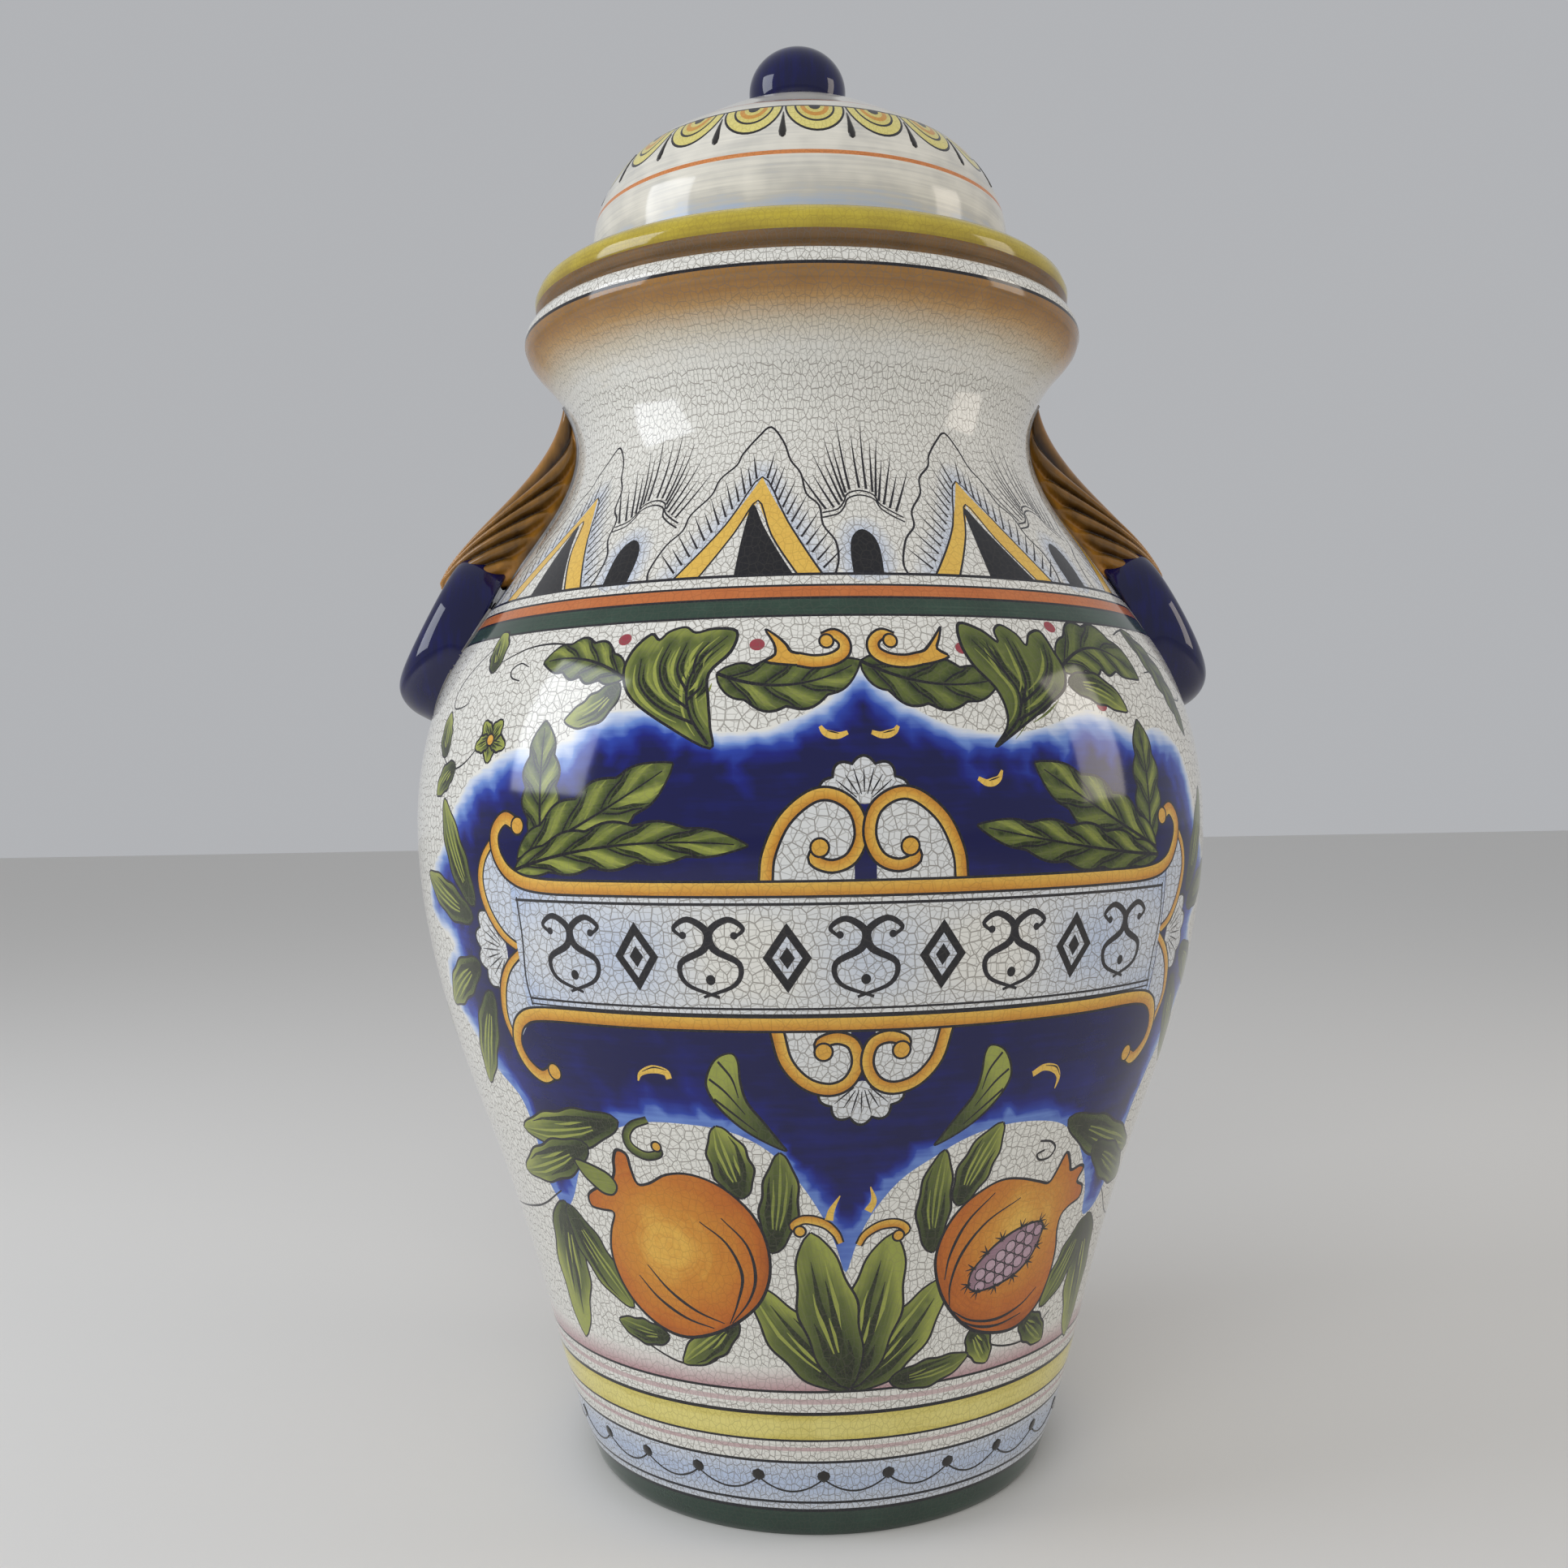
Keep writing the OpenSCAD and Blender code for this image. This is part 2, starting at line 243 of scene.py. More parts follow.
class Canvas:
    """Painted areas on a wall, in the order they are brushed on. Places are (a, z): the
    design's degrees round the jar and mm up it. Each area has a paint, and a tone from 0 to 1."""

    def __init__(self, wall, seam=-180.0):
        self.wall = wall
        self.seam = seam
        self.areas = []

    def flat(self, points, z0):
        """Places as mm on a flat sheet that touches the wall at height z0."""
        return np.array(points, float) * [self.wall.r_of_z(z0) * DEG, 1]

    def fill(self, outline, paint, tone=0.5, flow=None, by_length=False):
        """Adds an area, on both sides of the seam where it crosses it."""
        p = np.array(outline, float)
        if not by_length:
            p = np.stack([p[:, 0], self.wall.v_of_z(p[:, 1])], 1)
        low, high = p[:, 0].min(), p[:, 0].max()
        for turn in (-360, 0, 360):
            if low + turn < self.seam + 360 - TINY and high + turn > self.seam + TINY:
                a = np.clip(p[:, 0] + turn, self.seam, self.seam + 360)
                self.areas.append((np.stack([a, p[:, 1]], 1), turn, paint, tone, flow))

    def band(self, low, high, paint, tone=0.5, by_length=False):
        """A band all round."""
        a0, a1 = self.seam, self.seam + 360
        corners = [(a0, low), (a1, low), (a1, high), (a0, high)]
        self.fill(corners, paint, tone, by_length=by_length)

    def line(self, z, width, paint="ink", tone=0.5):
        """A brush line all round."""
        self.band(z - width / 2, z + width / 2, paint, tone)

    def stroke(self, path, width, paint="ink", tone=0.5, round_tone=None):
        """A brush stroke along a path. Its width in mm is one number, or start, middle and end."""
        path = np.array(path, float)
        k = self.wall.r_of_z(path[:, 1].mean()) * DEG
        p = path * [k, 1]
        along = np.gradient(p, axis=0)
        along /= np.maximum(TINY, np.hypot(along[:, 0], along[:, 1]))[:, None]
        side = np.stack([-along[:, 1], along[:, 0]], 1)
        widths = np.broadcast_to(width, 3) if np.ndim(width) == 0 else width
        w = np.interp(np.linspace(0, 1, len(p)), [0, 0.5, 1], widths)[:, None] / 2
        if round_tone is not None:
            half = max(widths) / 2
            low, high = round_tone

            def tone(a, z):
                d, s, _ = distance_along(np.stack([a * k, z], 1), p)
                return low + (high - low) * (0.5 + 0.5 * s * d / half)
        self.fill(np.vstack([p + side * w, (p - side * w)[::-1]]) / [k, 1], paint, tone)

    def ribbon(self, path, width, paint="ochre", edge=0.9):
        """A scroll: a coloured stroke between two dark ones."""
        widths = np.array(np.broadcast_to(width, 3), float)
        self.stroke(path, widths + 2 * edge)
        self.stroke(path, widths, paint, round_tone=(0.25, 0.8))

    def ray(self, start, way, reach, widths):
        """A short straight stroke."""
        self.stroke([start, start + way * reach / 2, start + way * reach], widths)

    def ball(self, at, radius, paint="ochre", edge=0.8, n=18):
        """A round spot with a dark edge."""
        k = self.wall.r_of_z(at[1]) * DEG
        for r, p, t in ((radius + edge, "ink", 0.5), (radius, paint, 0.6)):
            self.fill(circle(n) * [r / k, r] + np.array(at), p, t)

    def shape(self, points, paint, tone=0.5, edge=1.0, flow=None, per_span=5):
        """A filled form with a dark outline."""
        form = closed(points, per_span)
        self.fill(form, paint, tone, flow)
        if edge:
            self.outline(form, edge)

    def outline(self, form, width):
        """A closed line of brush width round a form, in two strokes that meet."""
        half = len(form) // 2
        loop = np.vstack([form, form[:2]])
        uneven = (width * 0.8, width * 1.25, width * 0.8)
        self.stroke(loop[:half + 2], uneven)
        self.stroke(loop[half:], uneven)

    def leaf(self, base, tip, half, bend, lobes, light):
        """A leaf from base to tip, half mm wide each side, with a dark outline. With lobes, each
        side is a row of lit leaflets that sweep to the tip. Without, dark and light strokes run
        up the blade."""
        z0 = (base[1] + tip[1]) / 2
        k = self.wall.r_of_z(z0) * DEG
        p0, p2 = np.array(base) * [k, 1], np.array(tip) * [k, 1]
        run = p2 - p0
        p1 = (p0 + p2) / 2 + bend * np.array([-run[1], run[0]])
        t = np.linspace(0, 1, max(28, 8 * lobes) + 1)
        spine = ((1 - t)**2)[:, None] * p0 + (2 * t * (1 - t))[:, None] * p1 + (t**2)[:, None] * p2
        way = np.gradient(spine, axis=0)
        way /= np.hypot(way[:, 0], way[:, 1])[:, None]
        normal = np.stack([-way[:, 1], way[:, 0]], 1)
        sweep = 0.9
        wide = half * np.sin(math.pi * t**0.9)**0.6
        if lobes:
            wide = wide * (0.82 + 0.26 * np.abs(np.sin(math.pi * (lobes * t - sweep))))
        else:
            wide = wide * (1 + 0.07 * np.sin(19 * t + half))
        wide = np.maximum(wide, 0.1)
        length = np.hypot(*run)

        def blade(across, u):
            """The place at a share across (-1 to 1) and along the leaf."""
            place = [np.interp(u, t, spine[:, i]) + across * np.interp(u, t, wide)
                     * np.interp(u, t, normal[:, i]) for i in (0, 1)]
            return np.stack(place, -1) / [k, 1]

        def tone(a, z):
            d, s, u = distance_along(np.stack([a * k, z], 1), spine)
            across = np.clip(d / np.maximum(0.5, np.interp(u, t, wide)), 0, 1)
            if lobes:
                lit = np.abs(np.sin(math.pi * (lobes * u - sweep * across - 0.25)))**0.7
                lit = lit * np.sin(math.pi * (0.2 + 0.66 * across)) * np.where(s > 0, 0.75, 1.0)
                return light * (0.12 + 0.95 * lit)
            lit = np.clip(1.25 * u + 0.5 * across**2 - 0.3, 0, 1) * np.where(s > 0, 0.75, 1.0)
            return light * (0.18 + 0.8 * lit)

        def flow(a, z):
            d, s, u = distance_along(np.stack([a * k, z], 1), spine)
            return s * d + (25 * u if lobes else 0), u * length * (0.4 if lobes else 0.6)

        edges = [blade(side, t) for side in (-1, 1)]
        self.fill(np.vstack([edges[1], edges[0][1:-1][::-1]]), "leaf", tone, flow)
        across = np.linspace(0.08, 0.92, 6)
        leaflets = list(itertools.product((-1, 1), range(lobes - 1)))
        for side, i in leaflets:
            leaflet = length / lobes
            for lag, share, lit in ((0.84, 0.09, 1.0), (0.66, 0.07, 0.9), (0.42, 0.09, 0.1)):
                path = blade(side * across, np.minimum(0.98, (i + lag + sweep * across) / lobes))
                self.stroke(path, (0.3, share * leaflet, 0.2), "leaf",
                            light * lit * (0.8 if side > 0 else 1))
        for side, i in leaflets:
            vein = blade(side * across, (i + 0.25 + sweep * across) / lobes)
            self.stroke(vein, (0.45, 0.75, 0.6))
        if lobes:
            self.stroke(blade(0 * t[:-2], t[:-2]), (1.3, 0.9, 0.4))
        else:
            for i, across in enumerate((-0.72, -0.45, -0.2, 0.04, 0.28, 0.52, 0.76)):
                u = np.linspace(0.04, 0.55 + 0.3 * math.sin(2.4 * i + half), 7)
                dark = i % 2 == 0
                thick, shade = (0.3, 0.08) if dark else (0.16, light)
                self.stroke(blade(across * (u + 0.1)**0.45, u + 0.2 * (not dark)),
                            (0.5, thick * half, 0.2), "leaf", shade)
        for edge in edges:
            self.stroke(edge, (0.7, 1.0, 0.7))

    def clump(self, outline, lines, light):
        """A clump of leaves: one filled form with dark lines that part its leaves."""
        form = closed(outline, 4)
        k = self.wall.r_of_z(form[:, 1].mean()) * DEG
        ribs = [smooth(line, 5) * [k, 1] for line in lines]

        def tone(a, z):
            p = np.stack([a * k, z], 1)
            near = np.min([distance_along(p, rib)[0] for rib in ribs], 0)
            return light * np.clip(0.3 + near / 9, 0, 0.75)

        def flow(a, z):
            d, s, u = distance_along(np.stack([a * k, z], 1), ribs[0])
            return s * d, u * 25
        self.fill(form, "leaf", tone, flow)
        for rib in ribs:
            way = np.gradient(rib, axis=0)
            way = np.stack([-way[:, 1], way[:, 0]], 1) / np.hypot(way[:, 0], way[:, 1])[:, None]
            for offset, width, lit in ((1.9, 1.5, 1.0), (-1.7, 1.7, 0.05), (-3.2, 1.0, 0.8)):
                lane = rib[2:-1] + way[2:-1] * offset
                self.stroke(lane / [k, 1], (0.2, width, 0.2), "leaf", light * lit)
        for line in lines:
            self.stroke(smooth(line, 5), (1.1, 0.9, 0.3))
        self.outline(form, 1.0)

    def fan(self, base, radius, first, last, lobes):
        """A scallop shell: white, crackled, with a lobed rim and ribs from its base."""
        k = self.wall.r_of_z(base[1]) * DEG
        turn = np.linspace(first, last, 8 * lobes + 1)
        u = (turn - first) / (last - first) * lobes
        r = radius * (0.86 + 0.14 * np.abs(np.sin(math.pi * u)))
        rim = np.stack([r * np.sin(turn * DEG) / k, r * np.cos(turn * DEG)], 1) + base
        self.fill(np.vstack([rim, [base]]), "white", 0.35)
        self.stroke(rim, 1.0)
        for i in range(2 * lobes + 1):
            point = rim[min(len(rim) - 1, i * 4)]
            reach = 0.72 if i % 2 else 0.9
            start = np.array(base) + 0.25 * (point - base)
            end = np.array(base) + reach * (point - base)
            self.stroke([start, (start + end) / 2, end], (0.3, 0.6, 0.2))


PAINTS = [
    "white", "brushed", "cobalt", "leaf", "ink", "fruit", "ochre", "rust", "green", "yellow",
    "pink", "berry", "shade", "seed"]


class Skin:
    """The meshes of a painted wall: one triangulation of all painted areas, cut into panels at
    borders, in degrees, and at levels, in mm along the wall."""
    # What a triangle on the flat sheet must exceed, and the free edge of a bake map
    SLIVER = 1e-7
    MAP_EDGE = 0.005
    # Sets the streaks of one area off from the next
    STREAK_SHIFT = 7.0

    def __init__(self, canvas, spacing, sheet_k, borders, levels=()):
        wall = self.wall = canvas.wall
        self.areas = canvas.areas
        rows = [np.linspace(0, wall.length, round(wall.length / spacing) + 1)]
        rows = np.unique(np.round(np.concatenate(rows + [np.array(levels)]), 6))
        points, edges = [], []
        columns = {b: [] for b in borders}
        for v in rows:
            rim = v == rows[0] or v == rows[-1] or v in np.round(levels, 6)
            in_panel = max(4, math.ceil(2 * math.pi * wall.at(v)[0] / spacing / 6))
            n = RIM_STEPS if rim else 6 * in_panel
            row = np.linspace(canvas.seam, canvas.seam + 360, n + 1)
            first = len(points)
            points += [(a, v) for a in row]
            if rim:
                edges += [(first + i, first + i + 1) for i in range(n)]
            for b in borders:
                columns[b].append(first + int(round((b - canvas.seam) / 360 * n)))
        columns["start"] = [i for i, p in enumerate(points) if p[0] == canvas.seam]
        columns["end"] = [i for i, p in enumerate(points) if p[0] == canvas.seam + 360]
        for column in columns.values():
            edges += list(zip(column, column[1:]))
        for outline, *_ in self.areas:
            first = len(points)
            for (a0, v0), (a1, v1) in zip(outline, np.roll(outline, -1, 0)):
                r = wall.at((v0 + v1) / 2)[0]
                pieces = max(1, math.ceil(math.hypot((a1 - a0) * DEG * r, v1 - v0) / spacing))
                points += [(a0 + (a1 - a0) * i / pieces, v0 + (v1 - v0) * i / pieces)
                           for i in range(pieces)]
            ring = list(range(first, len(points)))
            edges += list(zip(ring, ring[1:] + ring[:1]))
        flat = [Vector((a * sheet_k, v)) for a, v in points]
        out = geometry.delaunay_2d_cdt(flat, edges, [], 0, 1e-4, False)
        self.av = np.array([(p.x / sheet_k, p.y) for p in out[0]])
        self.tris = np.array(out[2])
        self.centre = self.av[self.tris].mean(1)
        self.top = np.full(len(self.tris), -1)
        for i, area in enumerate(self.areas):
            self.cover(i, area[0])
        self.colour()

    def cover(self, i, outline):
        """Marks the triangles inside an outline as covered by area i."""
        low, high = outline.min(0), outline.max(0)
        near = np.flatnonzero(((self.centre > low) & (self.centre < high)).all(1))
        x, y = self.centre[near].T[..., None]
        x0, y0 = outline.T
        x1, y1 = np.roll(outline, -1, 0).T
        left = (x1 - x0) * (y - y0) - (x - x0) * (y1 - y0)
        up = (y0 <= y) & (y < y1) & (left > 0)
        down = (y1 <= y) & (y < y0) & (left < 0)
        self.top[near[up.sum(1) != down.sum(1)]] = i

    def colour(self):
        """Paint, tone and brush direction of each corner, from the area that lies on top."""
        a, v = self.av[self.tris][..., 0], self.av[self.tris][..., 1]
        r, z = self.wall.at(v)
        self.tone = np.zeros(a.shape)
        self.flow = np.stack([v, a * r * DEG, np.zeros(a.shape)], 2)
        self.paint = np.zeros(len(a), int)
        for i in np.unique(self.top[self.top >= 0]):
            _, turn, paint, tone, flow = self.areas[i]
            pick = self.top == i
            self.paint[pick] = PAINTS.index(paint)
            fa, fz = a[pick].ravel() - turn, z[pick].ravel()
            tones = tone(fa, fz) if callable(tone) else np.full(len(fa), tone)
            self.tone[pick] = tones.reshape(-1, 3)
            if flow:
                across, along = flow(fa, fz)
                shift = np.full(len(fa), i * self.STREAK_SHIFT)
                self.flow[pick] = np.stack([across, along, shift], 1).reshape(-1, 3, 3)

    def mesh(self, name, a_range=(-999, 999), v_range=(0, 1e9)):
        """One panel as an object, with its own bake map and the wall's true normals."""
        low, high = zip(a_range, v_range)
        keep = ((self.centre > low) & (self.centre < high)).all(1)
        tris = self.tris[keep]
        area = self.av[tris]
        flat = np.abs(np.cross(area[:, 1] - area[:, 0], area[:, 2] - area[:, 0])) < self.SLIVER
        keep[np.flatnonzero(keep)[flat]] = False
        tris = self.tris[keep]
        used, index = np.unique(tris, return_inverse=True)
        av = self.av[used]
        places = self.wall.points(av[:, 0], av[:, 1])
        mesh = bpy.data.meshes.new(name)
        mesh.from_pydata(places.tolist(), [], index.reshape(-1, 3).tolist())
        kinds, kind = np.unique(self.paint[keep], return_inverse=True)
        for i in kinds:
            mesh.materials.append(GLAZES[PAINTS[i]])
        mesh.polygons.foreach_set("material_index", kind.astype(np.int32))
        mesh.polygons.foreach_set("use_smooth", np.ones(len(tris), bool))
        mesh.attributes.new("tone", "FLOAT", "CORNER").data.foreach_set(
            "value", self.tone[keep].ravel().astype(np.float32))
        mesh.attributes.new("brush", "FLOAT_VECTOR", "CORNER").data.foreach_set(
            "vector", (self.flow[keep] * MM).ravel().astype(np.float32))
        place = np.stack([av[:, 0] * CRAZE_R * DEG, av[:, 1], np.zeros(len(av))], 1) * MM
        mesh.attributes.new("unrolled", "FLOAT_VECTOR", "POINT").data.foreach_set(
            "vector", place.ravel().astype(np.float32))
        corner = self.av[tris].reshape(-1, 2)
        low, high = corner.min(0), corner.max(0)
        on_map = self.MAP_EDGE + (1 - 2 * self.MAP_EDGE) * (corner - low) / (high - low)
        mesh.uv_layers.new(name="OFBake").data.foreach_set("uv", on_map.ravel().astype(np.float32))
        mesh.update()
        mesh.normals_split_custom_set_from_vertices(self.wall.normals(av[:, 0], av[:, 1]).tolist())
        return new_object(name, mesh)


def new_object(name, mesh):
    """An object with that mesh, linked into the scene."""
    obj = bpy.data.objects.new(name, mesh)
    bpy.context.scene.collection.objects.link(obj)
    return obj


# The painting. Places are (degrees, mm), given along each brushed form

# Where the first of the lid's scallops and the first of the foot's drops are centred
SCALLOP_START = -2.5
DROP_START, DROP_Z = 6.8, 27


def shifted(points, turn, rise=0.0):
    """The same places moved round the jar and up it."""
    return [(a + turn, z + rise) for a, z in points]


def foot_bands(c):
    """Green foot, blue-washed band for the drops, yellow and pink bands, and dark lines."""
    c.band(0, 12, "green", 0.4)
    c.band(12, 33, "white", lambda a, z: 0.45 + 0.4 * np.clip(1 - np.abs(z - 24) / 12, 0, 1))
    c.band(37.7, 39.3, "pink", 0.6)
    c.band(42, 52.6, "yellow",
           lambda a, z: 0.78 + 0.25 * np.sin(math.pi * np.clip((z - 42) / 10.6, 0, 1)))
    c.band(57, 59, "pink", 0.55)
    c.band(62, 72, "pink", lambda a, z: np.clip((71 - z) / 9, 0, 1) * 0.9)
    for z, width in ((12, 1.3), (15.6, 1.1), (33, 1.1), (42, 0.9), (53, 1.4), (62, 1.0)):
        c.line(z, width)


def lip_bands(c):
    """Brown painted shade under the lip, and the line round it."""
    # Painted shade: brown, strongest just under the lip's overhang, fading down the neck
    c.band(440, 469, "shade", lambda a, z: np.clip((z - 443) / 20, 0, 1) ** 1.5 * 0.85)
    c.line(469.3, 1.2)


def shoulder_bands(c):
    """Green and rust bands below the neck, with their lines."""
    c.band(340, 346, "green", 0.5)
    c.band(346.4, 350.8, "rust", 0.5)
    for z, width in ((339.7, 0.8), (346.3, 0.9), (351, 0.8), (355.2, 1.1)):
        c.line(z, width)


HOOD = [
    (-32, 355), (-32.3, 360), (-30.8, 369), (-28.6, 374.5), (-28, 381), (-25, 388.5), (-24, 395),
    (-21, 400.5), (-20, 405), (-17, 411.5), (-14.25, 415.2), (-11.5, 409), (-10, 401.5), (-8, 396),
    (-7, 387.5), (-4.8, 382.5), (-4.3, 374.5), (-2.5, 368), (-2.3, 361), (-3, 355)]
CHEVRON = [
    (-27.6, 355.2), (-21, 375.5), (-15.5, 395.0), (-10.2, 376), (-4.9, 355.2), (-8.6, 355.2),
    (-12.9, 371), (-15.8, 385.2), (-19.2, 372), (-23.6, 355.2)]
OPENING = [(-18.1, 355.2), (-17.7, 371), (-16.7, 384), (-14.4, 375), (-11.8, 365), (-9.2, 355.2)]
WINDOW = [
    (-0.3, 354.8), (-0.3, 364.5), (0.4, 370.2), (2.1, 372.8), (3.8, 370.2), (4.5, 364.5),
    (4.3, 354.8)]
ARCH = [
    (-4.3, 377.5), (-1.6, 379), (-0.3, 382), (0.6, 385.4), (3, 386.8), (5.4, 385.2), (6.2, 381.5),
    (7.9, 378.6), (10, 376)]


def neck_hood(c, turn):
    """One repeat round the neck: a hooded chevron, then a small arched window under rays."""
    hood = smooth(shifted(HOOD, turn), 4)
    bars = np.array(shifted(CHEVRON, turn))
    edge = c.flat(bars[:5], 375)
    window = smooth(shifted(WINDOW, turn), 3)
    heart = c.flat(window, 365)
    k = c.wall.r_of_z(380) * DEG

    def halo(path, z0, reach, full):
        """A tone that is full on a path and fades away within its reach."""
        def tone(a, z):
            d, _, _ = distance_along(c.flat(np.stack([a, z], 1), z0), path)
            return np.clip(full * (1 - d / reach), 0, 1)
        return tone
    c.fill(hood, "white", halo(edge, 375, 12, 0.6))
    c.fill(circle(24) * [5.6, 14] + [2.1 + turn, 366], "white", halo(heart, 365, 9, 0.62))
    c.stroke(hood, (0.7, 0.85, 0.7))
    c.fill([(bars[i] + bars[9 - i]) / 2 for i in (0, 2, 4)], "white", 0.1)
    c.fill(bars, "ochre", 0.85)
    for run in (bars[:5], bars[5:]):
        c.stroke(smooth(run, 4), 0.7)
    c.fill(smooth(shifted(OPENING, turn), 3), "ink", 0.2)
    hatches, rays = 13, 15
    for side, foot, tip in ((-1, bars[0], bars[2]), (1, bars[4], bars[2])):
        for i in range(hatches):
            t = (i + 0.5) / hatches
            start = foot + t * (tip - foot) + [side * 0.6, 0.8]
            reach = 10.5 + 2.0 * math.sin(math.pi * t) - 2.6 * (i % 2)
            lean = (42 - 30 * t) * DEG
            way = np.array([side * math.sin(lean) / k, math.cos(lean)])
            c.ray(start, way, reach, (0.85, 0.6, 0.15))
    c.fill(window, "ink", 0.1)
    arch = smooth(shifted(ARCH, turn), 4)
    for rise in (0, 1.9):
        c.stroke(arch + [0, rise], 0.65)
    for i in range(rays):
        t = (i + 0.5) / rays
        start = arch[int(t * (len(arch) - 1))] + [0, 3.0]
        lean = (-34 + 66 * t) * DEG
        reach = 29 - 9 * abs(2 * t - 1) - 6 * (i % 2)
        way = np.array([math.sin(lean) / k, math.cos(lean)])
        c.ray(start, way, reach, (0.95, 0.7, 0.15))


BLUE_FIELD = [
    (-1, 320.5), (-3.5, 314), (-7.5, 306), (-12, 301.5), (-17, 300), (-21, 303), (-25, 308),
    (-30, 309), (-35, 306), (-38.5, 299), (-42, 295), (-46, 297), (-50, 294), (-55.5, 287),
    (-60, 276), (-62.5, 266), (-66, 257), (-70.5, 248), (-71.5, 237), (-68, 229), (-64, 223),
    (-68, 217), (-70.5, 207), (-67.5, 196), (-63.5, 187), (-60, 177), (-55.5, 168), (-54.5, 158),
    (-55, 146), (-55.5, 134), (-53, 124), (-49.5, 130), (-46, 142), (-42, 152.5), (-37, 160.5),
    (-31.5, 165), (-25, 165.5), (-19, 163.5), (-14, 157), (-10, 146), (-6.5, 132), (-4.3, 120),
    (-2.75, 109.5), (-1.2, 120), (0.8, 131), (4.8, 144), (9.5, 152), (14.5, 158.5), (20, 161.5),
    (26, 161), (31.5, 157.5), (36.5, 148.5), (40.5, 137), (43.5, 126), (45.5, 115), (50, 118),
    (52, 130), (52, 145), (52.5, 157), (54, 168), (57, 180), (63, 194), (65.5, 207), (61, 219),
    (59, 226), (63.5, 236), (65, 247), (61, 259), (57, 270), (54.5, 283), (51, 295), (46, 301),
    (40, 300), (35, 303.5), (30, 307), (25.5, 303), (20.5, 299.5), (14.5, 299), (9, 302),
    (4.5, 308.5), (1.5, 314)]


def blue_field(c):
    """The cobalt ground: feathered where it meets the white, with a washed band low down."""
    form = closed(BLUE_FIELD, 4)
    middle_z = 230
    ring = c.flat(np.vstack([form, form[:1]]), middle_z)

    def tone(a, z):
        d, _, _ = distance_along(c.flat(np.stack([a, z], 1), middle_z), ring)
        feather = np.interp(z, [110, 165, 190, 330], [11, 13, 17, 17])
        feather = np.where((np.abs(a + 2) < 26) & (z > 285), 11, feather)
        uneven = 1 + 0.16 * np.sin(0.9 * a + 0.11 * z) + 0.12 * np.sin(2.3 * a - 0.4 * z)
        low = np.interp(z, [165, 195], [1.0, 0.0])
        soft = np.clip(d * uneven / feather, 0, 1) ** 1.15
        washed = 0.35 + 0.6 * np.clip((d * uneven - 4.2) / 3.2, 0, 1)
        return low * washed + (1 - low) * soft
    c.fill(form, "cobalt", tone)


BERRIES = (
    (-32.2, 333.4), (-13.7, 329.6), (-35.2, 307.5), (12.9, 327.9), (28.5, 336.9), (33.3, 308.5))


def berry(c, a, z):
    """A small upright berry."""
    c.fill(circle(14) * [1.0, 2.1] + [a, z], "berry", 0.5)


GARLAND_VINES = (
    [(-55, 329), (-50, 333), (-45, 334), (-40, 332.5), (-36, 331)],
    [(-49, 321), (-51, 322.5), (-51.6, 325.4), (-50, 327.6), (-48, 326)],
    [(-57, 340), (-60, 334), (-64, 326), (-66, 319), (-65, 313), (-61, 314), (-60.5, 318)],
    [(43, 336), (45.5, 338), (48, 338.4), (51, 336)],
    [(47, 322), (49, 323), (49.8, 327), (48, 329)],
    [(52, 331), (57, 327), (60, 319), (59, 313), (56, 313), (55.6, 317)],
    [(-66, 296), (-62, 290), (-58, 292), (-54, 300)])
# Leaves: base, tip, half width in mm, bend, lobes a side (0 for a plain leaf), lightness
GARLAND_LEAVES = (
    ((-31, 319.5), (-45.2, 327), 7.4, -0.2, 4, 0.85),
    ((-31.5, 318), (-39.0, 305.5), 5.2, 0.25, 0, 1.1),
    ((27.2, 321), (44.4, 319), 9.6, 0.42, 4, 0.75), ((28, 316), (38.6, 306.5), 5.4, 0.2, 0, 0.9),
    ((-18.6, 320), (-0.8, 323.6), 8.6, -0.26, 4, 0.8),
    ((-0.8, 323.4), (17.4, 317.6), 8.6, -0.2, 4, 0.62),
    ((-56.4, 325), (-59.6, 341), 5.0, -0.2, 0, 1.1), ((-64, 295), (-66, 312), 5.4, 0.2, 0, 1.1),
    ((-60.6, 291), (-66.4, 280), 5.0, -0.1, 0, 1.0),
    ((46.4, 338.5), (56.4, 298.5), 6.4, 0.12, 5, 0.55))
FLOWER = (-52.4, 300)
# The two clumps of leaves, and the lines that part their leaves
LEFT_CLUMP = [
    (-18.9, 294.6), (-24, 302), (-29.4, 312), (-31.2, 321), (-30.6, 329), (-28.4, 334.8),
    (-27, 332.6), (-25.8, 335.4), (-23.6, 336.8), (-22, 334.6), (-19.6, 335.8), (-16.5, 334.6),
    (-17, 327.5), (-19.6, 320), (-19.4, 311), (-19.0, 302)]
LEFT_CLUMP_LINES = [
    [(-19.2, 296), (-21.6, 306), (-22.2, 316), (-20.8, 325), (-17.6, 333)],
    [(-21.8, 308), (-25, 315), (-26.2, 323), (-25.4, 331)],
    [(-21, 303), (-25.6, 309), (-28.6, 317), (-29, 326)], [(-22.2, 314), (-23.8, 322), (-23, 331)],
    [(-22.1, 311), (-20.6, 315), (-20.2, 318)], [(-21.6, 320), (-21.4, 326), (-20, 331)]]
RIGHT_CLUMP = [
    (15.2, 293.8), (17, 300), (17.4, 306), (16.4, 314), (13.9, 322), (12.8, 330), (13.4, 337),
    (16.4, 334.6), (18.4, 330.4), (18.4, 334.6), (19.8, 336.8), (21.8, 333.6), (22.8, 329.6),
    (24, 333.8), (26.2, 335), (27.2, 328), (28, 321), (27, 314), (23.6, 308), (20, 302),
    (17.2, 297)]
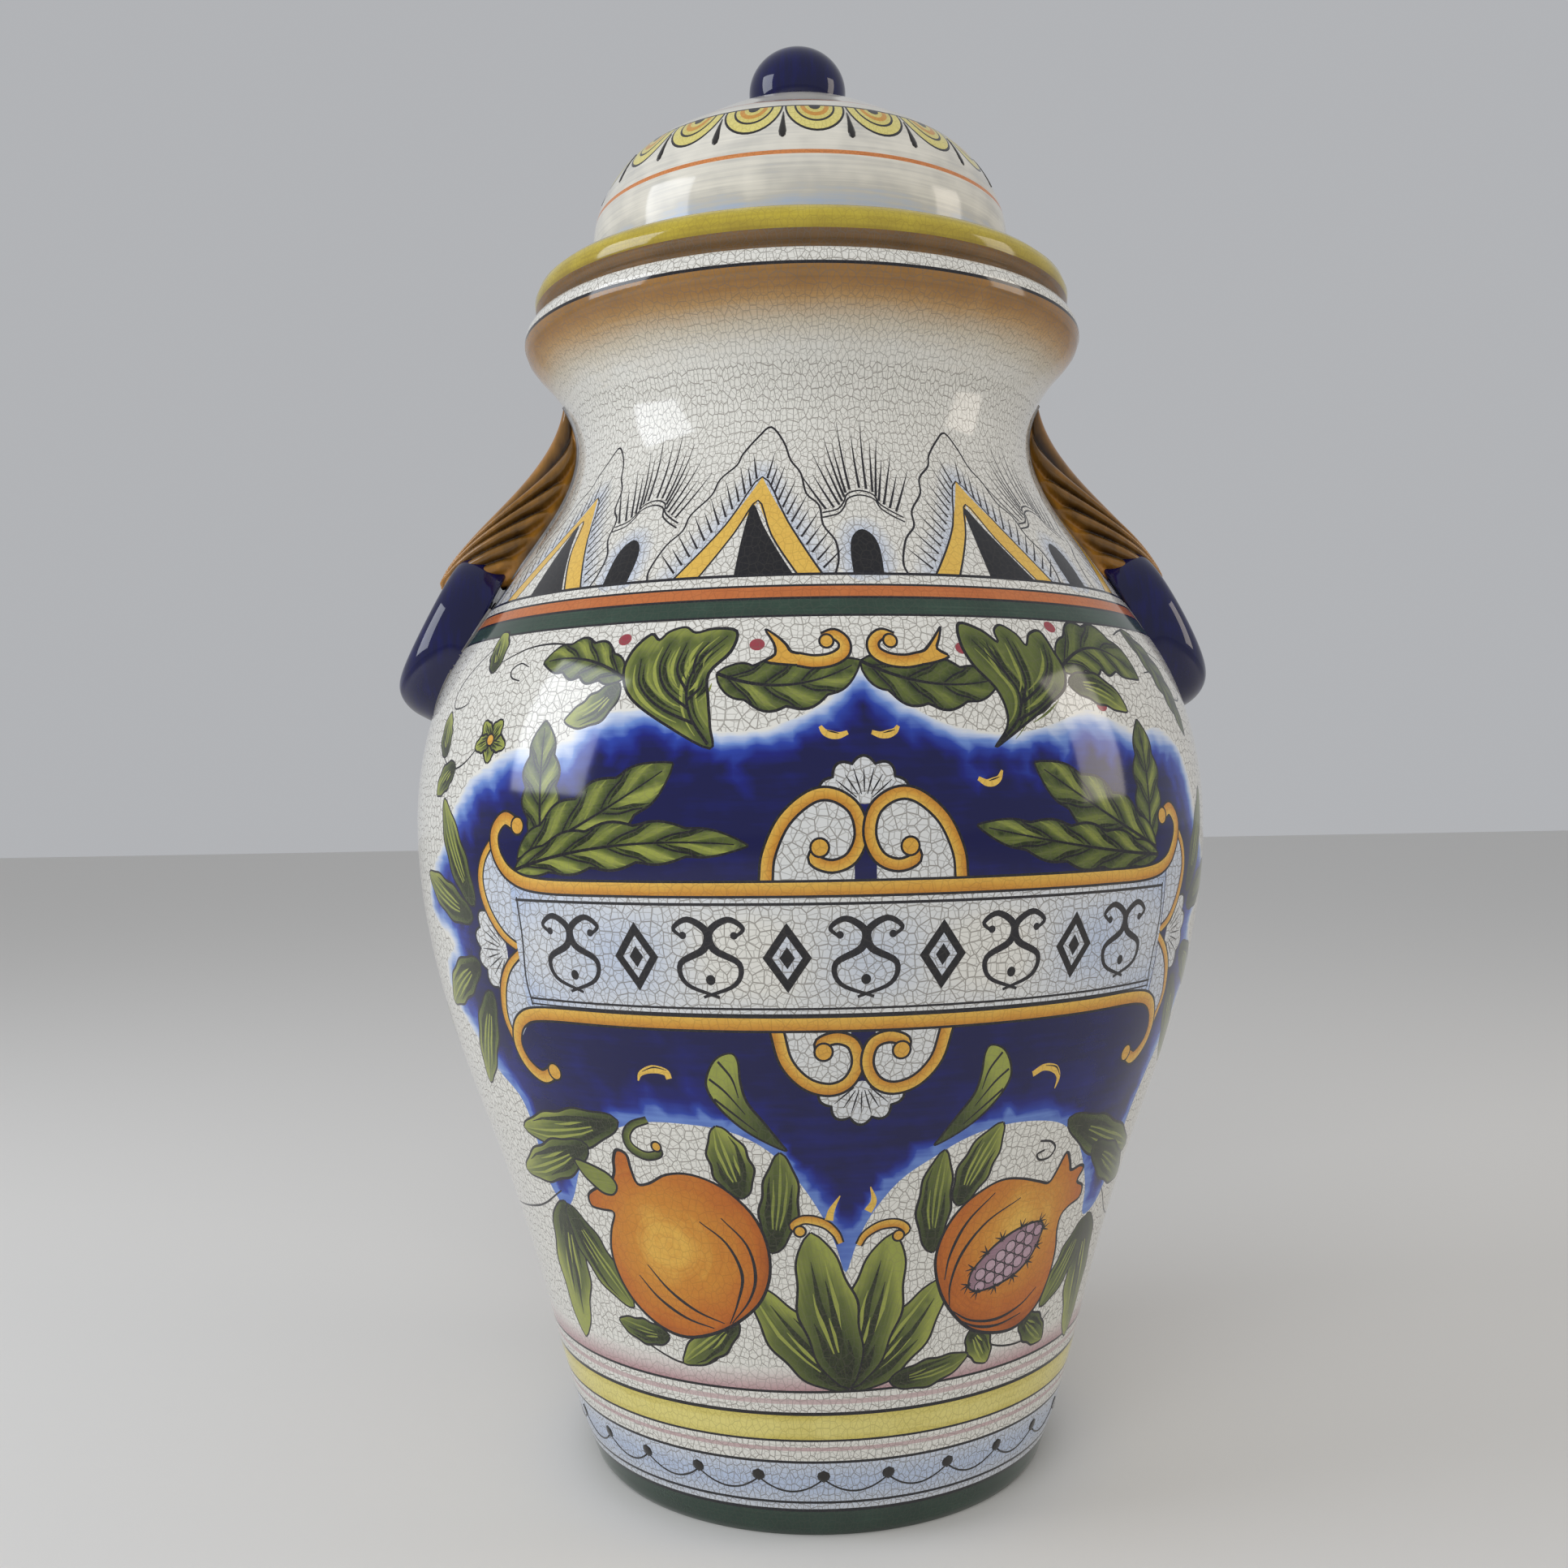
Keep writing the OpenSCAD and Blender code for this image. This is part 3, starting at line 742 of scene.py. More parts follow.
RIGHT_CLUMP_LINES = [
    [(16, 295.5), (19, 304), (19.6, 313), (17.4, 322), (14.6, 331)],
    [(19.4, 307), (21, 316), (20.6, 325), (20, 332)],
    [(20, 309), (23.6, 316), (25.4, 323), (25.8, 330)], [(18.8, 317), (17.4, 324), (16.6, 330)],
    [(19, 303), (22.6, 308), (25.6, 314)]]
# The forked scrolls: where each one's curl is centred, its side, and its tail
FORKED_SCROLLS = (
    (-1.9, -1, [(-12.8, 335), (-11.2, 332.4), (-10.0, 329.4), (-9.3, 326.8), (-7.6, 325.6),
                (-7.6, 322.4), (-10, 322.4), (-12.6, 323.6), (-11.4, 326), (-11.6, 330)]),
    (0.3, 1, [(10.6, 335.6), (9.6, 332.6), (8.6, 329.6), (7.6, 327), (6.2, 325.6), (6.2, 322.4),
              (8, 322.4), (10.8, 324.8), (9.4, 327.6), (9.9, 331)]))
CURL = (
    (6.6, 324.1), (4.6, 323.2), (2.4, 324), (0.9, 326.6), (0.8, 330.2), (2.0, 332.8), (3.5, 331.6))


def garland(c):
    """Leaves, forked scrolls and vines between the shoulder bands and the blue field."""
    for path in GARLAND_VINES:
        c.stroke(smooth(path), (0.5, 0.8, 0.4))
    for leaf in GARLAND_LEAVES:
        c.leaf(*leaf)
    for i in range(5):
        petal = (-90 + 72 * i) * DEG
        tip = (FLOWER[0] + 3.6 * math.cos(petal), FLOWER[1] + 8.5 * math.sin(petal))
        c.leaf(FLOWER, tip, 3.2, 0, 0, 1.3)
    c.ball(FLOWER, 1.8)
    c.clump(LEFT_CLUMP, LEFT_CLUMP_LINES, 1.05)
    c.clump(RIGHT_CLUMP, RIGHT_CLUMP_LINES, 0.82)
    for middle, side, tail in FORKED_SCROLLS:
        c.shape(tail, "ochre", 0.6, edge=0.9, per_span=3)
        c.ribbon(smooth([(middle + side * da, z) for da, z in CURL]), (3.6, 3.4, 2.4))
        c.ball((middle + side * 3.0, 330.4), 2.0)


# Scrolls of the crests: degrees from the middle, and mm from the banner's edge
CREST_UP = [
    (11.4, 0), (11.0, 9), (9.2, 20), (6.2, 27.5), (3.6, 28.3), (1.2, 23.5), (0.5, 15), (1.6, 7.5),
    (3.8, 4.8), (5.8, 7), (5.2, 11)]
CREST_DOWN = [
    (10.6, 0), (9.6, 11), (7.2, 18.5), (4.2, 21), (1.8, 18.5), (0.6, 12), (1.2, 5), (3.2, 2.6),
    (5.2, 4.4), (4.9, 7.5)]


def crest(c, middle, z0, path, up, shell):
    """A shell between two C-scrolls that stand on the banner (up = 1) or hang from it (-1)."""
    scrolls = [smooth([(middle + side * a, z0 + up * dz) for a, dz in path]) for side in (-1, 1)]
    turns = (-82, 82) if up > 0 else (98, 262)
    c.fan((middle, z0 + up * (shell - 2)), 16, *turns, 5)
    for scroll in scrolls:
        lobe = scroll[:len(scroll) * 7 // 10]
        c.fill(np.vstack([lobe, [(lobe[-1][0], z0)]]), "white", 0.3)
    for scroll in scrolls:
        c.ribbon(scroll, (3.7, 3.4, 3.2))
        c.ball(scroll[-1], 2.7)


BANNER_Z = 225
TOP_BORDER = [
    (-45.6, 269.2), (-48, 271.8), (-50, 266.5), (-49.6, 258.5), (-47, 251.5), (-42, 248.3),
    (-30, 248), (-15, 248), (0, 248), (15, 248), (30, 248), (40.5, 248.3), (45.3, 251.5),
    (47.6, 258.5), (48, 266), (46, 271.2), (43.8, 268.6)]
BOTTOM_BORDER = [
    (-45.2, 180.4), (-48, 177.8), (-50.8, 182.5), (-51.6, 190.5), (-49.5, 198.5), (-44.5, 202),
    (-30, 202.3), (-15, 202.3), (0, 202.3), (15, 202.3), (30, 202.3), (41.5, 202), (46.6, 198.5),
    (49, 190.5), (48.6, 182.5), (45.6, 177.6), (42.9, 180.4)]
# The two arcs that close each end of the banner
LEFT_ARCS = (
    [(-50, 265), (-52.6, 257.5), (-53.6, 249), (-52.6, 239), (-50, 230), (-46.8, 225)],
    [(-46.8, 224.4), (-50, 218), (-52.2, 209), (-53, 198), (-51.8, 188)])
RIGHT_ARCS = (
    [(47.8, 265), (50.4, 257), (51.2, 248), (50, 238), (47.8, 230), (44.6, 225.4)],
    [(44.6, 225), (48, 218), (50.4, 209), (51.2, 199), (49.6, 189)])


def banner(c):
    """The banner: curled ochre borders, fan shells at its ends and a washed field."""
    for base, turns in (((-49.6, 224), (-172, -8)), ((47.4, 224), (8, 172))):
        c.fan(base, 20, *turns, 6)
    for side, arcs in ((-1, LEFT_ARCS), (1, RIGHT_ARCS)):
        inner = [(side * 46.4 - 1, 200), (side * 46.4 - 1, 248)]
        c.fill(np.vstack([smooth(arcs[0]), smooth(arcs[1]), inner]), "white", 0.55)
        for arc in arcs:
            c.ribbon(smooth(arc), (2.2, 3.0, 2.2), edge=0.8)

    def wash(a, z):
        ends = np.abs(a + 1) / 46
        return 0.30 + 0.5 * ends**3 + 0.25 * np.cos(a * 0.21) * np.cos((z - BANNER_Z) * 0.09)
    c.fill([(-47.4, 201), (45.2, 201), (45.2, 249), (-47.4, 249)], "white", wash)
    for z, width in ((243.0, 1.0), (207.6, 0.8), (205.6, 0.6)):
        c.stroke([(a, z) for a in np.linspace(-46.6, 44.6, 60)], width)
    for a in (-46.4, 44.4):
        c.stroke(smooth([(a, 205), (a - 0.3, 215), (a + 0.25, 230), (a, 244)]), 0.8)
    for border in (TOP_BORDER, BOTTOM_BORDER):
        c.ribbon(smooth(border, 8), 4.2, edge=0.9)
        for end in (border[0], border[-1]):
            c.ball(end, 2.8)


ORNAMENT_SCROLL = [(-1.0, 211.5), (3.0, 216), (3.6, 223), (0.6, 228), (0.2, 234), (2.4, 238),
                   (4.2, 235), (3.2, 232)]


def banner_ornament(c):
    """A plain running ornament in the banner's field: lozenges between paired scrolls."""
    for i, a in enumerate(np.linspace(-38, 36, 9)):
        if i % 2:
            k = c.wall.r_of_z(BANNER_Z) * DEG
            for size, paint, tone in ((8.2, "ink", 0.2), (5.0, "white", 0.5), (2.6, "ink", 0.2)):
                wide, tall = size / k, 1.45 * size
                c.fill([(a - wide, BANNER_Z), (a, BANNER_Z - tall),
                        (a + wide, BANNER_Z), (a, BANNER_Z + tall)], paint, tone)
            continue
        for side in (-1, 1):
            stem = [(a + side * da, z) for da, z in ORNAMENT_SCROLL]
            c.stroke(smooth(stem), (1.0, 2.9, 1.0))
            c.ball((a + side * 3.1, 232.6), 1.3, "ink", 0)
        c.fill(circle(12) * [0.6, 1.8] + [a, 217.5], "ink", 0.2)


FIELD_LEAVES = (
    ((-41.6, 262), (-42.0, 306), 8.6, 0.0, 4, 0.85),
    ((-45.8, 257), (-23.3, 290), 10.5, -0.06, 4, 1.0),
    ((-46.4, 253.5), (-14.4, 262.4), 7.6, 0.10, 5, 0.95),
    ((40.6, 258), (40.3, 304), 8.6, 0.0, 4, 0.8),
    ((42.2, 257.5), (20.4, 288.5), 9.8, 0.06, 4, 0.85),
    ((42.8, 254.6), (12.2, 267.8), 7.6, 0.04, 5, 0.8),
    ((-55.6, 239.4), (-63.4, 279), 7.0, 0.05, 0, 1.0),
    ((-56.4, 235), (-70.8, 250), 7.0, 0.05, 0, 1.0),
    ((-56.6, 218), (-70.4, 199), 7.0, -0.05, 0, 1.0), ((-55, 208), (-64.8, 169), 7.0, 0.0, 0, 1.0),
    ((53.6, 239), (60.4, 279), 7.0, -0.05, 0, 0.8), ((54.4, 234), (68.4, 249), 6.6, -0.05, 0, 0.8),
    ((54.6, 217), (68, 199), 6.6, 0.05, 0, 0.8), ((53, 207), (62.4, 169), 7.0, 0.0, 0, 0.8))
# The single leaves that hang either side of the lower crest, for the right-hand side
INNER_LEAF = [
    (15.8, 192), (17.8, 190), (19.2, 184), (19.4, 178.6), (18, 172), (15.6, 165.6), (12.6, 160.4),
    (9.4, 156.6), (10.2, 160), (12.2, 167.2), (14.2, 174.4), (14.9, 181.7), (15.0, 189)]
INNER_VEINS = [
    [(17.6, 189), (16.0, 183), (15.3, 176)], [(19, 182.6), (17.0, 178), (14.6, 170)],
    [(18.6, 175.4), (16.6, 171), (13.2, 163.6)]]
# Small ochre hooks on the blue, with their widths
FIELD_HOOKS = (
    ([(-31, 180.6), (-30.4, 183.4), (-28.6, 185.2), (-26.8, 184.4), (-26.4, 182)],
     (0.5, 3.0, 2.2)),
    ([(23.2, 179.4), (25, 181.4), (27, 180.2), (28, 176.8), (27.8, 172.6)], (2.2, 3.0, 0.4)),
    ([(-6, 301.4), (-5.4, 299.2), (-4, 298.2), (-2.8, 299.2)], (1.2, 2.8, 1.4)),
    ([(0.0, 299.2), (1.2, 298.2), (2.6, 299.2), (3.2, 301.2)], (1.4, 2.8, 1.2)),
    ([(12.6, 283.4), (13.8, 281.8), (15.2, 283), (15.8, 286)], (1.4, 3.0, 0.8)))


def field_leaves(c):
    """Sprays that grow from the banner's corners over the blue, and past its ends."""
    for leaf in FIELD_LEAVES:
        c.leaf(*leaf)
    for side, middle in ((-1, -1.9), (1, 0.1)):
        def tone(a, z, side=side, middle=middle):
            return np.clip(0.95 - (185 - z) / 60 - (16.6 - side * (a - middle)) / 14, 0.3, 1)
        c.shape([(middle + side * a, z) for a, z in INNER_LEAF], "leaf", tone,
                edge=0.8, flow=lambda a, z: (a * 2.2, z))
        for vein in INNER_VEINS:
            c.stroke(smooth([(middle + side * a, z) for a, z in vein]), (0.9, 0.8, 0.3))
    for path, widths in FIELD_HOOKS:
        k = c.wall.r_of_z(path[0][1]) * DEG
        c.stroke(smooth(path), widths, "ochre", 0.9)
        c.stroke(smooth([(a + 0.5 / k, z + 0.7) for a, z in path[1:-1]]), (0.2, 0.6, 0.2))


LEFT_FRUIT = [
    (-40.9, 127), (-42.4, 120), (-43.6, 112), (-43.6, 104), (-42.4, 96), (-40, 89), (-36, 83),
    (-31, 80.6), (-25, 84), (-20, 90.5), (-16.5, 98.5), (-14.8, 109), (-15, 121), (-17, 132.5),
    (-21, 142), (-25.5, 146.2), (-29.5, 145.4), (-32.6, 141.4), (-34.8, 140.4), (-35.4, 146),
    (-35.6, 151.6), (-37.2, 153), (-38.2, 149), (-38.8, 143.4), (-40.4, 138.6), (-43.2, 136),
    (-45.6, 132.4), (-45.6, 128), (-43.4, 127.4)]
RIGHT_FRUIT = [
    (37.8, 119), (37.7, 113), (38.8, 105), (39, 95), (37.6, 85), (34.8, 79.4), (31, 76.4),
    (26, 77.2), (21, 80.8), (17, 88), (14, 97), (12.3, 107.5), (12.2, 116), (13.5, 125),
    (16, 132.8), (19.5, 138), (22.4, 139.8), (26, 138.6), (29.6, 136), (32, 134.6), (33.2, 139),
    (34.4, 145.4), (36, 141), (37, 137.2), (39.2, 138), (40.6, 136.4), (39.8, 131.4), (42, 128.6),
    (42.2, 123.8), (39.6, 121.8)]


def fruit(c, form, glow, creases, dry=()):
    """A pomegranate: skin lit round its glow, dark creases, and the dry tips of its crown."""
    glow_a, glow_z = glow
    glow_reach = 34

    def tone(a, z):
        k = c.wall.r_of_z(110) * DEG
        away = np.hypot((a - glow_a) * k, z - glow_z) / glow_reach
        return np.clip(1.16 - 0.86 * away, 0.14, 1)
    skin = closed(form, 4)
    c.fill(skin, "fruit", tone, lambda a, z: (np.hypot((a - glow_a) * 2.1, z - glow_z), a * 2))
    c.outline(skin, 1.1)
    for crease in creases:
        c.stroke(smooth(crease), (0.4, 1.3, 0.4))
    for tip in dry:
        c.shape(tip, "leaf", 0.75, edge=0.9, per_span=4)


LEFT_CREASES = [
    [(-25.4, 128), (-21.4, 120), (-19.4, 108), (-20.6, 97), (-22.4, 88)],
    [(-21.8, 130), (-18.2, 120), (-17.2, 108), (-18.6, 98), (-22, 88.4)],
    [(-38.6, 103), (-35.4, 95), (-30.6, 88.6), (-25.4, 85.6)],
    [(-36.4, 108), (-33, 99), (-28.4, 92), (-23.4, 88)]]
LEFT_TIPS = [
    [(-40, 134.6), (-38.9, 138.6), (-40.6, 143.4), (-46.2, 146.4), (-45.6, 141), (-43.8, 137),
     (-42, 134.4)]]
RIGHT_CREASES = [
    [(26.4, 131), (20.6, 124), (16.8, 113), (15.4, 101), (15.8, 92)],
    [(21, 135), (16.8, 125), (14.6, 113), (14.2, 103)],
    [(16.4, 90), (20.6, 84.6), (26.4, 82.6), (32, 85.6), (35.6, 91)],
    [(17.4, 86.4), (22, 81.6), (27, 80), (32.6, 82)]]
SEED_PATCH = [
    (19.2, 98), (19.2, 104.2), (21.2, 109.8), (23.6, 114.4), (27, 118), (31.4, 119.4),
    (33.4, 116.8), (33, 110.6), (31.8, 104.8), (29.2, 100), (25.6, 97.2), (21.8, 96)]


# The seeds: mm between them along the patch and between its rows, and their radius
SEED_STEP, SEED_ROW, SEED_R = 5.0, 4.4, 2.1


def fruits(c):
    """The whole fruit on the left, and the split one on the right with its patch of seeds."""
    fruit(c, LEFT_FRUIT, (-31.5, 117), LEFT_CREASES, LEFT_TIPS)
    fruit(c, RIGHT_FRUIT, (28.6, 118), RIGHT_CREASES)
    k = c.wall.r_of_z(107) * DEG
    start, end = np.array([20.4, 98.6]), np.array([32.0, 117.6])
    way = (end - start) * [k, 1]
    way /= np.hypot(*way)
    over = np.array([-way[1], way[0]])
    patch = closed(SEED_PATCH, 4)
    c.fill(patch, "seed", 0.2)
    ring = patch * [k, 1]
    for i in range(8):
        for j in range(-1, 3):
            along = 1.2 + SEED_STEP * i + SEED_STEP / 2 * (j % 2)
            spot = start * [k, 1] + way * along + over * (SEED_ROW * j - 2.0)
            d, _, _ = distance_along(spot[None], np.vstack([ring, ring[:1]]))
            off = spot - ring.mean(0)
            if np.hypot(*off) < 17 and d[0] > 1.2 and abs(off @ over) < 7.4:
                c.ball(spot / [k, 1], SEED_R, "seed", 0.5, 9)
    c.outline(patch, 0.9)
    middle = patch.mean(0)
    for i in range(12):
        spot = patch[int((i + 0.3) / 12 * len(patch))]
        out = (spot - middle) * [k, 1]
        turn = math.atan2(out[1], out[0])
        for lean in (-0.75, 0, 0.75):
            spike = np.array([math.cos(turn + lean) / k, math.sin(turn + lean)])
            spine = [spot - spike * 1.2, spot + spike * 1.2, spot + spike * 3.6]
            c.stroke(spine, (0.4, 0.75, 0.2))


LOW_VINES = (
    [(-45, 81), (-39, 74), (-32.5, 69.6), (-26, 72.5), (-20.6, 88)],
    [(-52.5, 131), (-60, 122), (-68, 117), (-78, 113)], [(51, 122.5), (60, 107.5), (75, 100)],
    [(-37, 100), (-44, 97), (-48, 104)], [(21, 79), (28, 71), (36, 70), (42, 78)],
    [(37.5, 84), (42, 88), (45.6, 98), (47, 112)])
# Plain leaves: base, tip, half width in mm, bend, lightness
LOW_LEAVES = (
    ((-35.6, 164.5), (-57.6, 154.4), 7.6, 0.06, 1.0), ((-42.6, 153), (-62.6, 135), 7.4, 0.05, 1.0),
    ((-52.5, 127), (-58.8, 67.6), 10.4, -0.06, 1.25), ((-52, 126), (-41.4, 88.6), 7.8, -0.12, 0.9),
    ((-34.6, 79.6), (-46, 82), 5.0, 0.1, 0.8), ((-21, 90), (-32.6, 69.6), 6.0, 0.05, 0.9),
    ((-18.0, 138), (-20.8, 165.4), 7.6, 0.0, 1.0), ((-14.4, 117), (-12.2, 156), 6.8, -0.08, 0.8),
    ((32.4, 159.4), (59, 136), 7.6, -0.06, 0.8), ((41.5, 145), (61.4, 123), 7.0, -0.05, 0.7),
    ((47.5, 114.5), (53.0, 60), 10.2, 0.05, 1.0), ((47, 113.5), (38.0, 81.5), 7.2, 0.12, 0.8),
    ((21, 81), (25.8, 65.4), 5.4, 0.0, 1.0), ((33, 80), (41.4, 66.4), 5.8, 0.0, 0.8),
    ((14.6, 132), (19.8, 162.6), 6.8, 0.06, 1.0), ((11.4, 114.6), (11.2, 154.6), 6.4, 0.08, 0.8))
# The fan of leaves between the fruits: tip, half width, bend, lightness
CENTRE_LEAVES = (
    ((-17.6, 104), 9.0, 0.12, 1.0), ((14.0, 104), 9.4, -0.12, 1.1), ((21.2, 71), 5.4, -0.1, 0.8),
    ((4.6, 124), 10.4, -0.03, 1.15), ((-8.2, 125.4), 10.4, 0.04, 1.0))
# Curled hooks, with the radius of the ball that ends them
LOW_HOOKS = (
    ([(-3.6, 121), (-4.4, 125), (-6.2, 128.8), (-9, 130.4), (-10.8, 128), (-9.8, 125.8)], 1.7),
    ([(-0.8, 120), (0.2, 124), (2.4, 127.2), (5, 127.6), (6.6, 125), (5.4, 122.8)], 1.7),
    ([(-30.8, 166), (-33.4, 163.4), (-34.8, 159), (-34.4, 154.6), (-32.2, 152), (-30, 153.4),
     (-30.2, 156)], 1.5))
LOW_TICKS = ([(-5.4, 130), (-5, 134), (-3.8, 139.4)], [(0.4, 133), (1.2, 137), (0.6, 142.4)])
LOW_CURL = [
    (27.6, 152.6), (29.8, 151.6), (31.2, 148.6), (30.4, 145.2), (28.4, 145), (27.6, 147.4),
    (29, 148.6)]


def low_leaves(c):
    """Leaves, stems and vines round the fruits, and the fan between them."""
    for path in LOW_VINES:
        c.stroke(smooth(path), (0.6, 0.9, 0.6))
    for base, tip, half, bend, light in LOW_LEAVES:
        c.leaf(base, tip, half, bend, 0, light)
    for tip, half, bend, light in CENTRE_LEAVES:
        base = (5.6, 65) if tip[0] > 20 else (-1.6, 63)
        c.leaf(base, tip, half, bend, 0, light)
    for path, ball in LOW_HOOKS:
        c.ribbon(smooth(path), (1.6, 2.8, 1.8), "leaf" if path[0][0] < -20 else "ochre", 0.7)
        c.ball(path[-1], ball)
    for path in LOW_TICKS:
        c.stroke(smooth(path), (3.0, 2.2, 0.4), "ochre", 0.9)
    c.stroke(smooth(LOW_CURL), 0.9)


# What is repeated at the sides and back, from a zero of its own
SPRAY_STEM = [(0, 92), (3, 120), (-1, 150), (2, 185), (-2, 225), (1, 262), (0, 300)]
FRUIT_STEM = [(4, 190), (8, 215), (3, 245), (7, 275), (4, 304)]
FRUIT_LEAVES = (
    ((7, 184), (14, 216), 7.4), ((5, 190), (-3, 226), 6.6), ((13, 160), (19, 196), 7.0),
    ((-6, 124), (-17, 104), 6.4), ((3, 123), (12, 98), 7.0), ((5, 226), (14, 252), 6.4),
    ((4, 238), (-6, 262), 6.4), ((6, 268), (13, 292), 5.6), ((6, 278), (-3, 300), 5.6))


def side_and_back(c):
    """Past the front's edges sprays and fruit go on more loosely, as such jars have them."""
    for turn in (-132, 95, 160):
        c.stroke(smooth(shifted(SPRAY_STEM, turn)), (0.8, 1.5, 0.8))
        for i in range(7):
            z = 108 + 28 * i
            side = 1 if i % 2 else -1
            c.leaf((turn + side * 0.4, z), (turn + side * 15, z + 24), 8.0, side * 0.08, 0, 0.85)
            c.leaf((turn - side * 0.4, z + 8), (turn - side * 11, z + 22), 5.2,
                   -side * 0.08, 0, 0.75)
            berry(c, turn + side * 10, z + 2)
    for turn in (-98, -166, 128):
        c.stroke(smooth(shifted(FRUIT_STEM, turn)), (1.6, 1.3, 0.6))
        for base, tip, half in FRUIT_LEAVES:
            c.leaf((turn + base[0], base[1]), (turn + tip[0], tip[1]), half, 0.06, 0, 0.9)
        skin, *creases = (shifted(path, turn + 29, 40) for path in (LEFT_FRUIT, *LEFT_CREASES[:2]))
        fruit(c, skin, (turn - 1.5, 157), creases)


def paint_jar(c, sizes):
    """The jar's painting, from the ground up to the last brush lines."""
    foot_bands(c)
    lip_bands(c)
    for i in range(sizes.neck_repeats):
        neck_hood(c, 360 * i / sizes.neck_repeats)
    shoulder_bands(c)
    blue_field(c)
    side_and_back(c)
    for place in BERRIES:
        berry(c, *place)
    garland(c)
    crest(c, -1.1, 250.5, CREST_UP, 1, 27)
    crest(c, -1.2, 200, CREST_DOWN, -1, 20)
    field_leaves(c)
    banner(c)
    banner_ornament(c)
    low_leaves(c)
    fruits(c)


# Each scallop's rings: size, paint, tone
SCALLOP_RINGS = ((1.0, "ink", 0.3), (0.93, "yellow", 1.0), (0.68, "ink", 0.3),
                 (0.61, "yellow", 0.9), (0.48, "ochre", 0.4), (0.33, "yellow", 0.9),
                 (0.2, "ink", 0.2))
SCALLOP_HEIGHT, SCALLOP_Z = 18, 545


def paint_lid(c, sizes):
    """The lid's painting: yellow rim over brown painted shade, washes and lines, and scallops
    under the knob.
    """
    rim = float(c.wall.v[c.wall.first])
    brown = rim * 0.26
    # Painted shade: the lowest quarter of the rim, where it turns under towards the jar, in dark
    # brown
    c.band(0, brown, "shade", 0.96, by_length=True)
    # Painted shade: the yellow darkens to olive towards the bottom of the rim
    c.band(brown, rim + 0.3, "yellow", lambda a, z: np.clip((z - 474) / 26, 0.2, 0.6),
           by_length=True)
    c.band(490.5, 574, "brushed", lambda a, z: 0.3 + 0.42 * np.clip(1 - np.abs(z - 501) / 8, 0, 1))
    c.line(521.6, 1.7, "rust", 0.85)
    count = sizes.scallops
    half = 180 / count
    v0 = float(c.wall.v_of_z(SCALLOP_Z))
    lower_half = circle(36)[np.r_[18:36, 0]]
    for i in range(count):
        a = SCALLOP_START + 360 * i / count
        for size, paint, tone in SCALLOP_RINGS:
            ring = lower_half * [half * 0.98 * size, SCALLOP_HEIGHT * size] + [a, v0]
            c.fill(ring, paint, tone, by_length=True)
    c.line(545.2, 0.8)
    c.line(551.3, 1.1, "rust", 0.85)


# Turned pieces, repeated drops and beads of slip, by geometry nodes

def add(nodes, kind, settings=None, **inputs):
    """Adds a node. Settings are its properties, and inputs are values or the sockets to link:
    Size_X is the input named Size X, and i0 is the first one."""
    node = nodes.new(kind)
    for key, value in (settings or {}).items():
        setattr(node, key, value)
    for key, value in inputs.items():
        numbered = key[0] == "i" and key[1:].isdigit()
        socket = node.inputs[int(key[1:]) if numbered else key.replace("_", " ")]
        if isinstance(value, bpy.types.NodeSocket):
            nodes.id_data.links.new(value, socket)
        else:
            socket.default_value = value
    return node


def new_tree(name, sockets):
    """A tree with named inputs, given as name, kind and default, and one geometry output."""
    tree = bpy.data.node_groups.new(name, "GeometryNodeTree")
    for label, kind, default in sockets:
        socket = tree.interface.new_socket(label, in_out="INPUT", socket_type=kind)
        if default is not None:
            socket.default_value = default
    tree.interface.new_socket("Geometry", in_out="OUTPUT", socket_type="NodeSocketGeometry")
    return tree


def end_tree(tree, geometry_socket, start):
    """Ends a tree in Realize Instances and Set Material."""
    n = tree.nodes
    real = add(n, "GeometryNodeRealizeInstances", Geometry=geometry_socket)
    paint = add(n, "GeometryNodeSetMaterial", Geometry=real.outputs[0],
                Material=start.outputs["Material"])
    add(n, "NodeGroupOutput", i0=paint.outputs[0])


